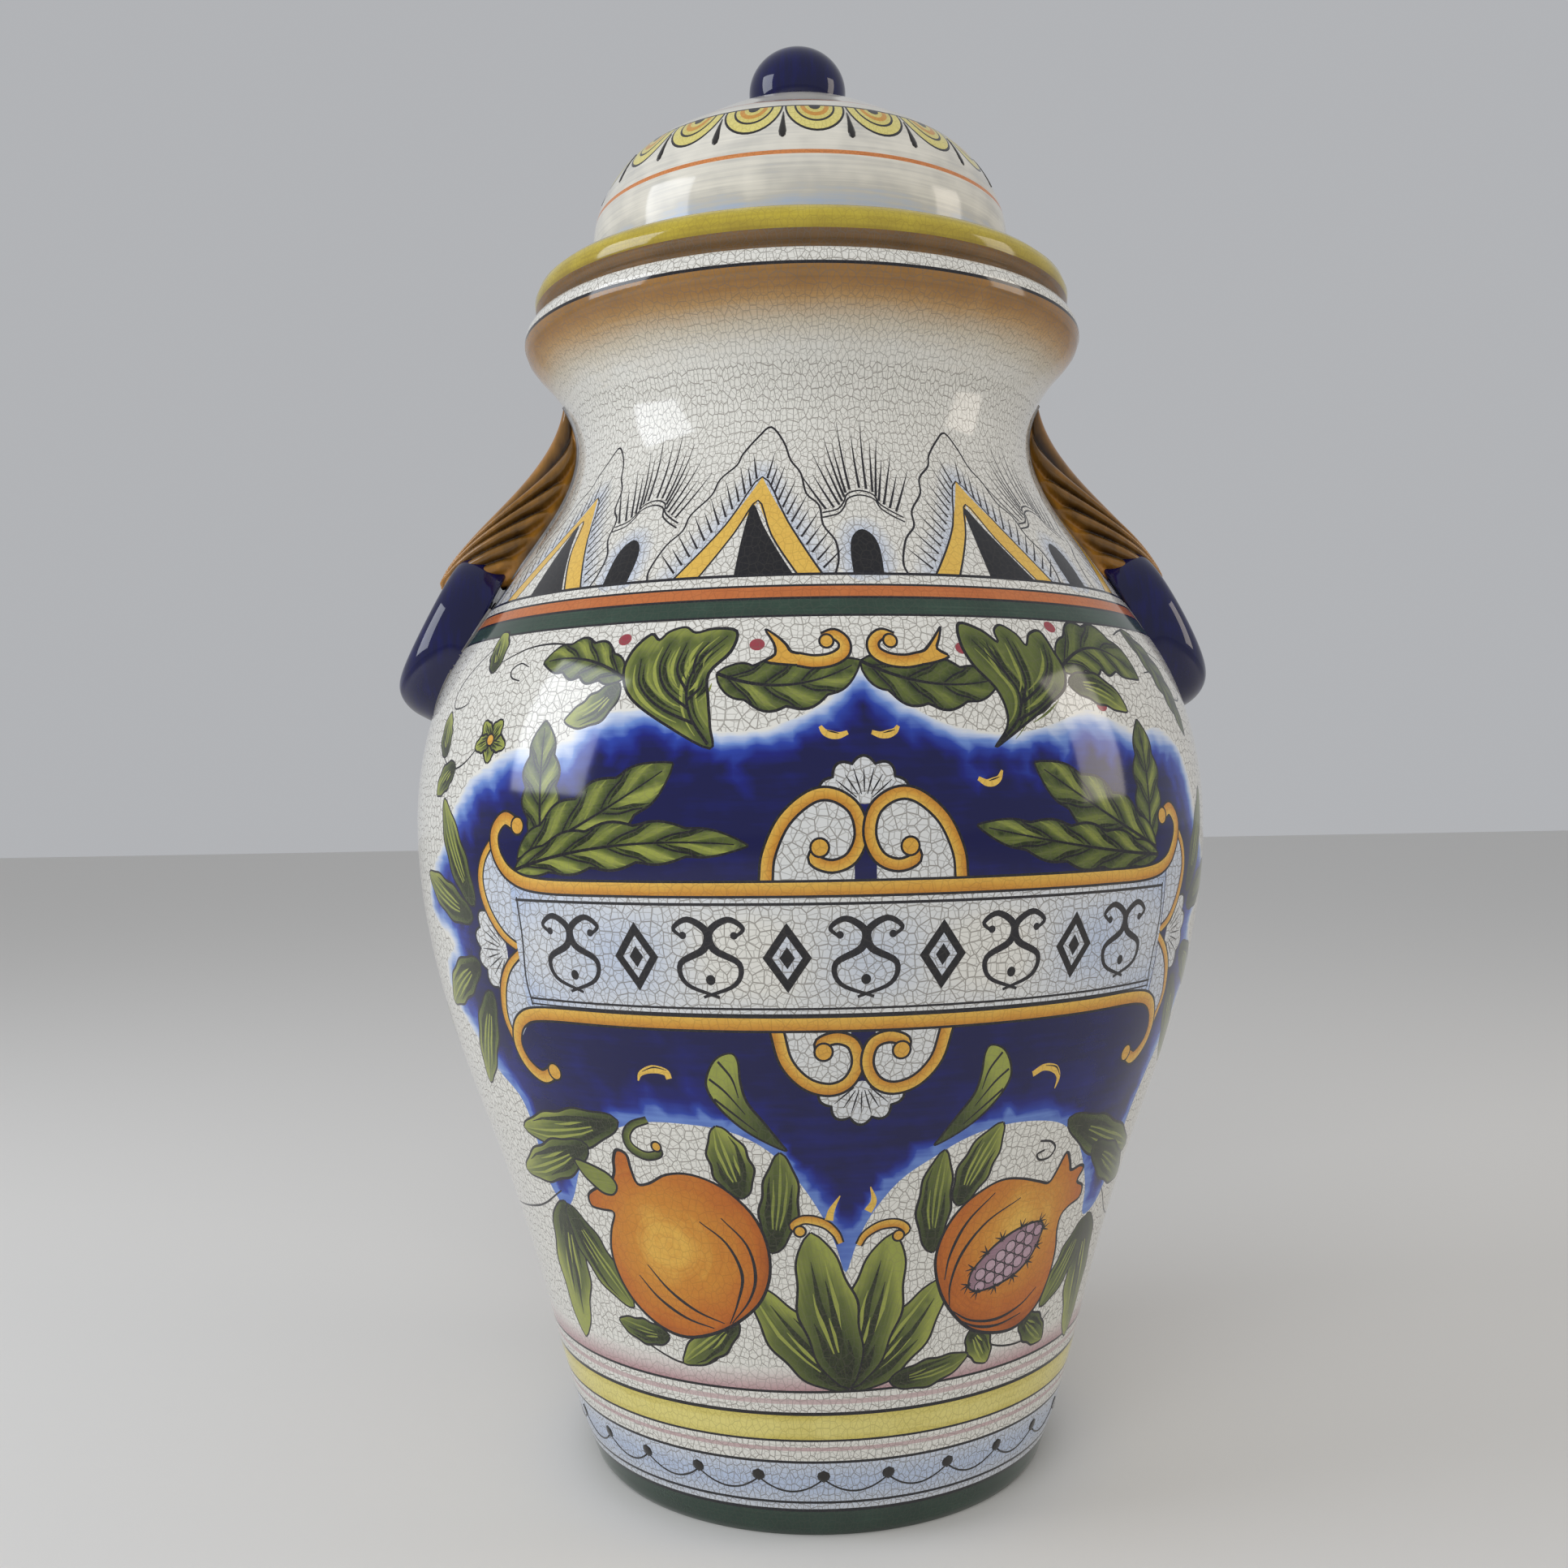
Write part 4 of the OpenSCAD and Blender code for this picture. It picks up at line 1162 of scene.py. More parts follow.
def turning_tree():
    """Turns the profile, given as a chain of points (r, 0, z), about the jar's axis."""
    tree = new_tree("Turn on the wheel", [
        ("Geometry", "NodeSocketGeometry", None), ("Steps round", "NodeSocketInt", 96),
        ("Profile points", "NodeSocketInt", 2), ("Start angle", "NodeSocketFloat", 0.0),
        ("Merge distance", "NodeSocketFloat", 1e-6), ("Material", "NodeSocketMaterial", None)])
    n = tree.nodes
    start = add(n, "NodeGroupInput")
    columns = add(n, "ShaderNodeMath", {"operation": "ADD"},
                  i0=start.outputs["Steps round"], i1=1.0)
    grid = add(n, "GeometryNodeMeshGrid", Size_X=1.0, Size_Y=1.0,
               Vertices_X=columns.outputs[0], Vertices_Y=start.outputs["Profile points"])
    spot = add(n, "ShaderNodeSeparateXYZ", i0=add(n, "GeometryNodeInputPosition").outputs[0])
    across = add(n, "ShaderNodeMath", {"operation": "ADD"}, i0=spot.outputs["X"], i1=0.5)
    angle = add(n, "ShaderNodeMath", {"operation": "MULTIPLY_ADD"}, i0=across.outputs[0],
                i1=2 * math.pi, i2=start.outputs["Start angle"])
    up = add(n, "ShaderNodeMath", {"operation": "ADD"}, i0=spot.outputs["Y"], i1=0.5)
    last = add(n, "ShaderNodeMath", {"operation": "SUBTRACT"},
               i0=start.outputs["Profile points"], i1=1.0)
    row = add(n, "ShaderNodeMath", {"operation": "MULTIPLY"}, i0=up.outputs[0], i1=last.outputs[0])
    near = add(n, "ShaderNodeMath", {"operation": "ROUND"}, i0=row.outputs[0])
    profile = add(n, "GeometryNodeSampleIndex", {"data_type": "FLOAT_VECTOR"},
                  Geometry=start.outputs["Geometry"], Index=near.outputs[0])
    tree.links.new(n["Position"].outputs[0], profile.inputs["Value"])
    rz = add(n, "ShaderNodeSeparateXYZ", i0=profile.outputs[0])
    sine = add(n, "ShaderNodeMath", {"operation": "SINE"}, i0=angle.outputs[0])
    cosine = add(n, "ShaderNodeMath", {"operation": "COSINE"}, i0=angle.outputs[0])
    x, y = (add(n, "ShaderNodeMath", {"operation": "MULTIPLY"}, i0=rz.outputs["X"],
                i1=ratio.outputs[0]) for ratio in (sine, cosine))
    back = add(n, "ShaderNodeMath", {"operation": "MULTIPLY"}, i0=y.outputs[0], i1=-1.0)
    place = add(n, "ShaderNodeCombineXYZ", X=x.outputs[0], Y=back.outputs[0], Z=rz.outputs["Z"])
    spot_map = add(n, "ShaderNodeCombineXYZ", X=across.outputs[0], Y=up.outputs[0])
    mapped = add(n, "GeometryNodeStoreNamedAttribute", {"data_type": "FLOAT2", "domain": "CORNER"},
                 Geometry=grid.outputs["Mesh"], Name="OFBake", Value=spot_map.outputs[0])
    wheeled = add(n, "GeometryNodeSetPosition", Geometry=mapped.outputs[0],
                  Position=place.outputs[0])
    joined = add(n, "GeometryNodeMergeByDistance", Geometry=wheeled.outputs[0],
                 Distance=start.outputs["Merge distance"])
    end_tree(tree, joined.outputs[0], start)
    return tree


def repeat_tree():
    """Repeats a piece round the jar's axis."""
    tree = new_tree("Repeat round the jar", [
        ("Geometry", "NodeSocketGeometry", None), ("Count", "NodeSocketInt", 9),
        ("Start angle", "NodeSocketFloat", 0.0), ("Material", "NodeSocketMaterial", None)])
    n = tree.nodes
    start = add(n, "NodeGroupInput")
    spots = add(n, "GeometryNodePoints", Count=start.outputs["Count"])
    index = add(n, "GeometryNodeInputIndex")
    share = add(n, "ShaderNodeMath", {"operation": "DIVIDE"}, i0=index.outputs[0],
                i1=start.outputs["Count"])
    angle = add(n, "ShaderNodeMath", {"operation": "MULTIPLY_ADD"}, i0=share.outputs[0],
                i1=2 * math.pi, i2=start.outputs["Start angle"])
    turn = add(n, "ShaderNodeCombineXYZ", Z=angle.outputs[0])
    copies = add(n, "GeometryNodeInstanceOnPoints", Points=spots.outputs[0],
                 Instance=start.outputs["Geometry"], Rotation=turn.outputs[0])
    end_tree(tree, copies.outputs[0], start)
    return tree


def bead_tree():
    """Lays a round bead along a chain of points."""
    tree = new_tree("Bead of slip", [
        ("Geometry", "NodeSocketGeometry", None), ("Radius", "NodeSocketFloat", 1.0),
        ("Sides", "NodeSocketInt", 8), ("Material", "NodeSocketMaterial", None)])
    n = tree.nodes
    start = add(n, "NodeGroupInput")
    path = add(n, "GeometryNodeMeshToCurve", Mesh=start.outputs["Geometry"])
    ring = add(n, "GeometryNodeCurvePrimitiveCircle", Resolution=start.outputs["Sides"],
               Radius=start.outputs["Radius"])
    bead = add(n, "GeometryNodeCurveToMesh", Curve=path.outputs[0], Profile_Curve=ring.outputs[0])
    bead.inputs["Fill Caps"].default_value = True
    smoothed = add(n, "GeometryNodeSetShadeSmooth", Geometry=bead.outputs[0])
    end_tree(tree, smoothed.outputs[0], start)
    return tree


def grown(name, base_mesh, tree, material, **inputs):
    """Runs a tree on a mesh and returns the result as a plain object."""
    source = new_object(name + "_source", base_mesh)
    modifier = source.modifiers.new("Tree", "NODES")
    modifier.node_group = tree
    sockets = {s.name: s.identifier for s in tree.interface.items_tree if s.in_out == "INPUT"}
    modifier[sockets["Material"]] = material
    for key, value in inputs.items():
        modifier[sockets[key.replace("_", " ")]] = value
    graph = bpy.context.evaluated_depsgraph_get()
    graph.update()
    mesh = bpy.data.meshes.new_from_object(source.evaluated_get(graph))
    source.modifiers.clear()
    bpy.data.objects.remove(source)
    mesh.name = name
    if not mesh.materials:
        mesh.materials.append(material)
    return new_object(name, mesh)


def chain(name, points):
    """A chain of points in mm, joined by edges, for a tree to work on."""
    mesh = bpy.data.meshes.new(name)
    edges = [(i, i + 1) for i in range(len(points) - 1)]
    mesh.from_pydata([[x * MM for x in point] for point in points], edges, [])
    return mesh


def turned(name, path, material, tree, steps=RIM_STEPS):
    """A turned piece from an outline in mm, listed so that its outside lies on the left."""
    sharp_turn = 30
    line = chain(name + "_profile", [(r, 0, z) for r, z in path])
    obj = grown(name, line, tree, material, Steps_round=steps, Profile_points=len(path),
                Start_angle=(DESIGN_TURN - 180) * DEG)
    obj.data.shade_smooth()
    obj.data.set_sharp_from_angle(angle=sharp_turn * DEG)
    return obj


# Modelled handles

# The lug, in mm: its crest's ends and how far it reaches out, how its curve leaves each end
# (high and low), its ribs and how deep it is bedded in the wall. Long is the share of it above
# the blunt end, and finger the share of its half width where its fingers end
LUG = {"tip_z": 447, "end_z": 371, "reach": 32, "half_w": 21, "high_z": 34, "high_out": 8.5,
       "low_z": 25, "low_out": 5, "lobes": 6, "crest_ribs": 1.0, "rib_h": 3.4, "lobe_h": 3.0,
       "bed": 1.5, "drop": 7, "long": 0.86, "finger": 0.84}
LUG_ROWS, LUG_COLUMNS = 150, 120
# The ring, in mm: the height of its lower end, how far its back stands off the shoulder below
# (gap) and above (stand). Rise is the share of its length at which it leans on the shoulder
RING = {"length": 76, "across": 66, "w": 18.5, "depth": 21, "flat": 7, "low_z": 310.5,
        "stand": 5, "gap": 0.3, "rise": 0.88, "edge": 1.2}
RING_STEPS = 144


def grid_mesh(name, points, wrap_rows=False):
    """A mesh from rows of points, each row a closed loop. Its last row joins the first, or
    both of its ends are closed by a fan."""
    rows, n = points.shape[:2]
    faces = []
    for i in range(rows if wrap_rows else rows - 1):
        a, b = i * n, ((i + 1) % rows) * n
        for j in range(n):
            k = (j + 1) % n
            faces.append((a + j, a + k, b + k, b + j))
    places = points.reshape(-1, 3)
    if not wrap_rows:
        ends = [points[0].mean(0), points[-1].mean(0)]
        first, last = len(places), len(places) + 1
        places = np.vstack([places, ends])
        faces += [((j + 1) % n, j, first) for j in range(n)]
        b = (rows - 1) * n
        faces += [(b + j, b + (j + 1) % n, last) for j in range(n)]
    mesh = bpy.data.meshes.new(name)
    mesh.from_pydata(places.tolist(), [], faces)
    mesh.shade_smooth()
    return mesh


def lug_foot(wall, s):
    """Half the lug's width, and its height and radius on the wall, at a share s of its length."""
    g = LUG
    over = max(0, (s - g["long"]) / (1 - g["long"]))
    half = g["half_w"] * math.sin(min(90, 12 + 104 * s) * DEG)**1.15 * (1 - 0.22 * over**2)
    z0 = g["tip_z"] - (g["tip_z"] - g["end_z"] + 3) * s**0.92
    return half, z0, wall.r_of_z(z0)


def lug_edge(wall):
    """Places along the joint between the lug and the wall, down one side and up the other."""
    down = []
    for s in np.linspace(0.01, 0.97, 60):
        half, z0, r0 = lug_foot(wall, s)
        down.append((math.sqrt(r0 * r0 - half * half) - 0.5, half, z0))
    return np.array(down + [(x, -y, z) for x, y, z in down[::-1]])


def lug_mesh(name, wall):
    """The leaf lug: lobed sections swept along its crest, with ribs that fan from its blunt
    end. Its tone attribute is light on the ribs and dark between them."""
    g = LUG
    high_z, low_z = g["tip_z"] - g["high_z"], g["end_z"] + g["low_z"]
    tip = np.array([wall.r_of_z(g["tip_z"]) - 0.4, g["tip_z"]])
    high = np.array([wall.r_of_z(high_z) + g["high_out"], high_z])
    low = np.array([wall.r_of_z(low_z) + g["reach"] + g["low_out"], low_z])
    end = np.array([wall.r_of_z(g["end_z"]) + g["reach"], g["end_z"]])
    points, ribs = [], []
    for s in np.linspace(0, 1, LUG_ROWS):
        t = min(1, s / g["long"])
        u = 1 - t
        top = u**3 * tip + 3 * u * u * t * high + 3 * u * t * t * low + t**3 * end
        over = max(0, (s - g["long"]) / (1 - g["long"]))
        fall = over * math.pi / 2
        top = top - [g["drop"] * (1 - math.cos(fall)), g["drop"] * math.sin(fall)]
        half, z0, r0 = lug_foot(wall, s)
        swell = math.sin(math.pi * min(1, 0.08 + 0.95 * s)) * 0.55 + 0.45 * min(1, s * 4)
        row, tones = [], []
        for a in np.linspace(0, math.pi, LUG_COLUMNS):
            v = abs(1 - a / (math.pi / 2))
            q = (1.04 - s) / max(0.03, v**0.6)
            fanned = 1 - (1 - min(q, 1))**1.45
            phase = g["lobes"] * fanned + (g["crest_ribs"] * (1 - 1 / q) if q > 1 else 0)
            wave = abs(math.sin(math.pi * phase))**0.62
            edge = abs(math.cos(a))**3
            finger = min(1, max(0, (g["finger"] + 0.09 * wave - v) / 0.05))**0.5
            wave *= finger
            y = half * math.cos(a)
            x0 = math.sqrt(r0 * r0 - y * y) - g["bed"]
            rise = math.sin(a)**0.8 if 0 < a < math.pi else 0
            up = np.array([top[0] - x0, top[1] - z0])
            relief = g["rib_h"] + g["lobe_h"] * edge
            out = (wave - 0.5) * relief * swell * min(1, math.sin(a) * 5)
            n = up / max(TINY, np.hypot(*up))
            row.append((x0 + up[0] * rise + out * n[0] * math.sin(a), y + out * math.cos(a),
                        z0 + up[1] * rise + out * n[1] * math.sin(a)))
            base = min(1, max(0, (s - 0.82) / 0.12))
            strip = 0.55 * (1 - finger) * min(1, 12 * abs(1.0 - v))
            tones.append(0.20 + 0.36 * wave + 0.36 * (1 - v)**2 + 0.3 * base * v + strip)
        for k in (1, 2, 3):
            y = -half * (1 - k / 2)
            row.append((math.sqrt(r0 * r0 - y * y) - g["bed"] * 1.6, y, z0))
            tones.append(0)
        points.append(row)
        ribs.append(tones)
    mesh = grid_mesh(name, np.array(points) * MM)
    values = np.concatenate([np.array(ribs).ravel(), [0.5, 0.5]]).astype(np.float32)
    mesh.attributes.new("tone", "FLOAT", "POINT").data.foreach_set("value", values)
    return mesh


def ring_seat(wall):
    """The radius of the ring's lower end, and how far the ring leans back."""
    g = RING
    rise = g["length"] * g["rise"]
    x = wall.r_of_z(g["low_z"]) + g["gap"]
    return x, math.atan((x - wall.r_of_z(g["low_z"] + rise) - g["stand"]) / rise)


def ring_oval(t):
    """A place on the ring's middle line, at an angle round it, and the way outwards there."""
    a, b = (RING["length"] - RING["w"]) / 2, (RING["across"] - RING["w"]) / 2
    n = np.array([b * math.cos(t), a * math.sin(t)])
    return np.array([a * math.cos(t), b * math.sin(t)]), n / np.hypot(*n)


def ring_mesh(name, wall):
    """The ring laid on the shoulder: flat back bent round the wall, round front, open middle."""
    g = RING
    x, lean = ring_seat(wall)
    reach = g["length"] / 2
    middle = np.array([x - reach * math.sin(lean), 0, g["low_z"] + reach * math.cos(lean)])
    up = np.array([-math.sin(lean), 0, math.cos(lean)])
    out = np.array([math.cos(lean), 0, math.sin(lean)])
    bend = math.cos(lean) / (2 * wall.r_of_z(middle[2]))
    half, edge = g["w"] / 2, g["edge"]
    front = [(half * math.cos(a), g["flat"] + (g["depth"] - g["flat"]) * math.sin(a))
             for a in np.linspace(0, math.pi, 25)]
    side = [(half, edge + (g["flat"] - edge) * t) for t in (0, 0.33, 0.66)]
    back = [(half - edge * (1 - math.cos(a)), edge * (1 - math.sin(a)))
            for a in np.linspace(0.4, 1.57, 3)]
    flat = [(half - edge - (g["w"] - 2 * edge) * t, 0) for t in (0.25, 0.5, 0.75)]
    loop = side + front + [(-u, w) for u, w in reversed(side)]
    loop += [(-u, w) for u, w in back] + [(-u, w) for u, w in flat] + list(reversed(back))
    points = []
    for t in np.arange(RING_STEPS) * 2 * math.pi / RING_STEPS:
        spot, outward = ring_oval(t)
        row = []
        for u, w in loop:
            v, y = spot + u * outward
            row.append(middle + v * up + (w - bend * y * y) * out + [0, y, 0])
        points.append(row)
    return grid_mesh(name, np.array(points) * MM, wrap_rows=True)


def mirrored(mesh):
    """The same piece on the other side of the jar, with its faces still outward."""
    copy = mesh.copy()
    copy.transform(Matrix.Scale(-1, 4, (1, 0, 0)))
    copy.flip_normals()
    return copy


def ring_edge(wall):
    """The line where the ring's back meets the shoulder, round its outside and lower end."""
    g = RING
    _, lean = ring_seat(wall)
    points = []
    for t in np.linspace(-0.62, 0.62, 60) * math.pi + math.pi:
        spot, outward = ring_oval(t)
        v, y = spot + (g["w"] / 2 - 0.8) * outward
        z = g["low_z"] + g["length"] / 2 * math.cos(lean) + v * math.cos(lean)
        r = wall.r_of_z(z) + 0.2
        points.append(np.array([math.sqrt(r * r - y * y), y, z]))
    return points


def relief_mesh(name, wall, path, widths, rise=0.3, sides=6):
    """A brush drop of thick glaze: a low closed ridge along a path of (degrees, mm up the jar)."""
    path = np.array(path, float)
    k = wall.r_of_z(path[:, 1].mean()) * DEG
    flat = path * [k, 1]
    along = np.gradient(flat, axis=0)
    along /= np.hypot(along[:, 0], along[:, 1])[:, None]
    across = np.stack([-along[:, 1], along[:, 0]], 1)
    w = np.interp(np.linspace(0, 1, len(path)), np.linspace(0, 1, len(widths)), widths) / 2
    turn = np.arange(sides) * 2 * math.pi / sides
    spot = flat[:, None] + across[:, None] * (w[:, None] * np.cos(turn))[..., None]
    a, v = (spot[..., 0] / k).ravel(), wall.v_of_z(spot[..., 1]).ravel()
    height = np.tile(rise * np.sin(turn) - 0.02, len(path))[:, None]
    places = wall.points(a, v) + wall.normals(a, v) * height * MM
    return grid_mesh(name, places.reshape(len(path), sides, 3))


# Glazes

def coordinate(n, scale_mm):
    """Object coordinates in cells of that many mm."""
    place = add(n, "ShaderNodeTexCoord")
    return add(n, "ShaderNodeMapping", Vector=place.outputs["Object"],
               Scale=[1 / (scale_mm * MM)] * 3).outputs[0]


def colour_ramp(n, factor, stops):
    """A ramp of hex colours."""
    ramp = add(n, "ShaderNodeValToRGB", Fac=factor)
    points = ramp.color_ramp.elements
    while len(points) < len(stops):
        points.new(0.5)
    for point, (position, hex_colour) in zip(points, stops):
        point.position = position
        point.color = linear(hex_colour)
    return ramp.outputs["Color"]


def crackle(n):
    """Crazing: the glaze shrank more than the clay and tore into cells, on the belly 3 to 5 mm
    across, with finer ones inside them. Returns 1 on a crack and 0 between cracks."""
    unrolled = add(n, "ShaderNodeAttribute", {"attribute_name": "unrolled"}).outputs["Vector"]
    sway = add(n, "ShaderNodeTexNoise", Vector=coordinate(n, 9), Scale=1.0, Detail=2.0)
    cracks = []
    for size, stretch, half_mm in ((3.3, (1.2, 0.85, 1), 0.11), (2.2, (1.0, 1.0, 1), 0.085)):
        cell = add(n, "ShaderNodeMapping", Vector=unrolled,
                   Scale=[s / (size * MM) for s in stretch])
        place = add(n, "ShaderNodeMix", {"data_type": "VECTOR"}, i0=0.08,
                    i4=cell.outputs[0], i5=sway.outputs["Color"])
        cells = add(n, "ShaderNodeTexVoronoi",
                    {"feature": "DISTANCE_TO_EDGE", "voronoi_dimensions": "2D"},
                    Vector=place.outputs[1], Scale=1.0, Randomness=0.8)
        edge = half_mm / size
        cracks.append(add(n, "ShaderNodeMapRange", Value=cells.outputs["Distance"], From_Min=edge,
                          From_Max=edge * 2.0, To_Min=1.0, To_Max=0.0).outputs[0])
    fine = add(n, "ShaderNodeMath", {"operation": "MULTIPLY"}, i0=cracks[1], i1=0.6)
    return add(n, "ShaderNodeMath", {"operation": "MAXIMUM"},
               i0=cracks[0], i1=fine.outputs[0]).outputs[0]


def new_material(name):
    """A material with nodes, its nodes and its main shader."""
    material = bpy.data.materials.new(name)
    material.use_nodes = True
    n = material.node_tree.nodes
    return material, n, n["Principled BSDF"]


# Index of a clear glaze, the size in mm of its pools and of the waves of a thrown pot under
# it, and the height of those waves
GLAZE_IOR = 1.52
POOL_MM = 14
WAVE_MM, WAVE_RISE = 26, 0.16


def glaze(name, stops, crack=0.5, crack_colour="#6E675C", streak=0.2, streak_mm=(0.7, 22),
          roughness=0.09, brush="brush"):
    """A glazed paint: its tone and brush streaks run through a ramp of colours, cracks are laid
    over it, and the surface keeps the slight waves of a thrown pot."""
    material, n, shader = new_material(name)
    amount = add(n, "ShaderNodeAttribute", {"attribute_name": "tone"}).outputs["Fac"]
    if brush:
        way = add(n, "ShaderNodeAttribute", {"attribute_name": brush}).outputs["Vector"]
    else:
        way = add(n, "ShaderNodeTexCoord").outputs["Object"]
    across, along = streak_mm
    way = add(n, "ShaderNodeMapping", Vector=way,
              Scale=(1 / (across * MM), 1 / (along * MM), 1 / (along * MM)))
    streaks = add(n, "ShaderNodeTexNoise", Vector=way.outputs[0], Scale=1.0, Detail=3.0,
                  Roughness=0.6)
    pools = add(n, "ShaderNodeTexNoise", Vector=coordinate(n, POOL_MM), Scale=1.0, Detail=2.0)
    uneven = add(n, "ShaderNodeMath", {"operation": "ADD"},
                 i0=streaks.outputs["Fac"], i1=pools.outputs["Fac"])
    centred = add(n, "ShaderNodeMath", {"operation": "SUBTRACT"}, i0=uneven.outputs[0], i1=1.0)
    mixed = add(n, "ShaderNodeMath", {"operation": "MULTIPLY_ADD"}, i0=centred.outputs[0],
                i1=2 * streak, i2=amount)
    colour = colour_ramp(n, mixed.outputs[0], stops)
    if crack:
        crazed = crackle(n)
        strength = add(n, "ShaderNodeMath", {"operation": "MULTIPLY"}, i0=crazed, i1=crack)
        colour = add(n, "ShaderNodeMix", {"data_type": "RGBA"}, i0=strength.outputs[0], i6=colour,
                     i7=linear(crack_colour)).outputs[2]
    n.id_data.links.new(colour, shader.inputs["Base Color"])
    shader.inputs["Roughness"].default_value = roughness
    shader.inputs["IOR"].default_value = GLAZE_IOR
    wave = add(n, "ShaderNodeTexNoise", Vector=coordinate(n, WAVE_MM), Scale=1.0, Detail=1.0)
    rise = add(n, "ShaderNodeMath", {"operation": "MULTIPLY"},
               i0=wave.outputs["Fac"], i1=WAVE_RISE * MM)
    bump = add(n, "ShaderNodeBump", Height=rise.outputs[0], Distance=1.0)
    n.id_data.links.new(bump.outputs[0], shader.inputs["Normal"])
    return material


def clay(name):
    """Bare earthenware: buff clay left unglazed under the foot, matt, with grog about 1.4 mm
    across that speckles it."""
    material, n, shader = new_material(name)
    grog = add(n, "ShaderNodeTexNoise", Vector=coordinate(n, 1.4), Scale=1.0, Detail=4.0,
               Roughness=0.7)
    colour = colour_ramp(n, grog.outputs["Fac"],
                         [(0.25, "#8E6A4C"), (0.5, "#B99270"), (0.75, "#CDAA88")])
    n.id_data.links.new(colour, shader.inputs["Base Color"])
    shader.inputs["Roughness"].default_value = 0.85
    grain = add(n, "ShaderNodeMath", {"operation": "MULTIPLY"},
                i0=grog.outputs["Fac"], i1=0.15 * MM)
    bump = add(n, "ShaderNodeBump", Height=grain.outputs[0], Distance=1.0)
    n.id_data.links.new(bump.outputs[0], shader.inputs["Normal"])
    return material


def plain_stage(name, hex_colour, roughness):
    """Matt paper for the floor, so that nothing there draws the eye from the jar."""
    material, _, shader = new_material(name)
    shader.inputs["Base Color"].default_value = linear(hex_colour)
    shader.inputs["Roughness"].default_value = roughness
    return material


GLAZES = {}


def make_glazes(c):
    """Every glaze of the jar, by the name of its paint."""
    # Tin glaze: opaque white from tin oxide, creamy, with blue washes where tone rises
    GLAZES["white"] = glaze("tin_white_glaze", [(0.0, c.white), (0.18, c.white), (1.0, c.wash)],
                            streak=0.05, crack=0.72)
    # The same glaze brushed thin on the lid: cream and grey streaks round it, no cracks
    GLAZES["brushed"] = glaze("brushed_tin_glaze", [
        (0.0, "#EEE9DC"), (0.25, "#DDD9CD"), (0.45, "#C8C5BC"), (0.7, "#B6C0CE"), (1.0, c.wash)],
        crack=0.0, streak=0.3, streak_mm=(1.2, 60))
    # Cobalt: the strongest maiolica blue, pale at a feathered edge and almost black when thick
    GLAZES["cobalt"] = glaze("cobalt_blue_glaze", [
        (0.0, c.white), (0.10, "#C6D2E8"), (0.28, "#6E8FD0"), (0.5, "#2440A6"), (0.8, c.cobalt),
        (1.0, "#080B48")], crack=0.0, streak=0.13, streak_mm=(3, 34))
    # Copper green mixed with yellow: olive in the shade, lime where the brush left it thin
    GLAZES["leaf"] = glaze("copper_green_glaze", [
        (0.0, "#191F10"), (0.3, c.leaf_dark), (0.62, "#616C30"), (0.95, c.leaf_light)],
        crack=0.2, streak=0.16, streak_mm=(0.8, 14))
    # Manganese and iron outlines: brown-black, brushed last
    GLAZES["ink"] = glaze("manganese_black_glaze", [(0.0, "#0C0C10"), (1.0, "#23222A")],
                          crack=0.1, streak=0.2)
    # Iron orange: glassy, gold where thin, rust where thick
    GLAZES["fruit"] = glaze("iron_orange_glaze", [
        (0.0, "#8C3E12"), (0.35, c.fruit), (0.75, "#D08A2C"), (1.0, "#E3B04A")],
        crack=0.22, crack_colour="#6A3A18", streak=0.2, streak_mm=(1.5, 30))
    # Antimony yellow with iron: ochre scrolls, darker on the shaded side of a stroke
    GLAZES["ochre"] = glaze("antimony_ochre_glaze", [
        (0.0, "#A9601E"), (0.45, c.ochre), (1.0, "#ECC65C")],
        crack=0.25, crack_colour="#7A4E1E", streak=0.12)
    # Iron rust and copper green with black in it: bands brushed round the jar on a wheel
    GLAZES["rust"] = glaze("iron_rust_glaze", [(0.0, "#A34E22"), (0.5, c.rust), (1.0, "#D98E52")],
                           crack=0.25, crack_colour="#6A3A20", streak=0.22, streak_mm=(0.8, 60))
    GLAZES["green"] = glaze("deep_green_glaze", [
        (0.0, "#18231F"), (0.5, c.deep_green), (1.0, "#4C6A58")],
        crack=0.1, streak=0.2, streak_mm=(0.9, 60))
    # Antimony yellow by itself: the wide band and the lid's rim, with brush lines round the jar
    # Its dark olive end is the painted shade low on the lid's rim
    GLAZES["yellow"] = glaze("antimony_yellow_glaze", [
        (0.0, "#6A552C"), (0.3, "#9A8430"), (0.6, c.yellow), (1.0, "#E2D680")],
        crack=0.3, crack_colour="#80702E", streak=0.16, streak_mm=(1.2, 80))
    # Manganese thinned to pink over the white
    GLAZES["pink"] = glaze("manganese_pink_glaze", [(0.0, c.white), (1.0, "#B07C84")],
                           crack=0.4, streak=0.1, streak_mm=(0.8, 60))
    # Manganese red: round spots as thick as a brush leaves them
    GLAZES["berry"] = glaze("manganese_red_glaze", [(0.0, "#7E2832"), (1.0, "#B4505A")],
                            crack=0.3, streak=0.2)
    # Painted shade in brown: under the jar's lip, fading down the neck, and low on the lid's rim
    GLAZES["shade"] = glaze("brown_painted_shade_glaze", [
        (0.0, c.white), (0.25, "#D8CDB8"), (0.6, "#C29A63"), (0.8, "#A5773C"), (1.0, "#6E5334")],
        crack=0.5, streak=0.07, streak_mm=(0.8, 70))
    # Manganese and white mixed: mauve seeds
    GLAZES["seed"] = glaze("mauve_seed_glaze", [
        (0.0, "#7C5A66"), (0.5, "#B391A0"), (1.0, "#D9C6CC")],
        crack=0.2, streak=0.2)
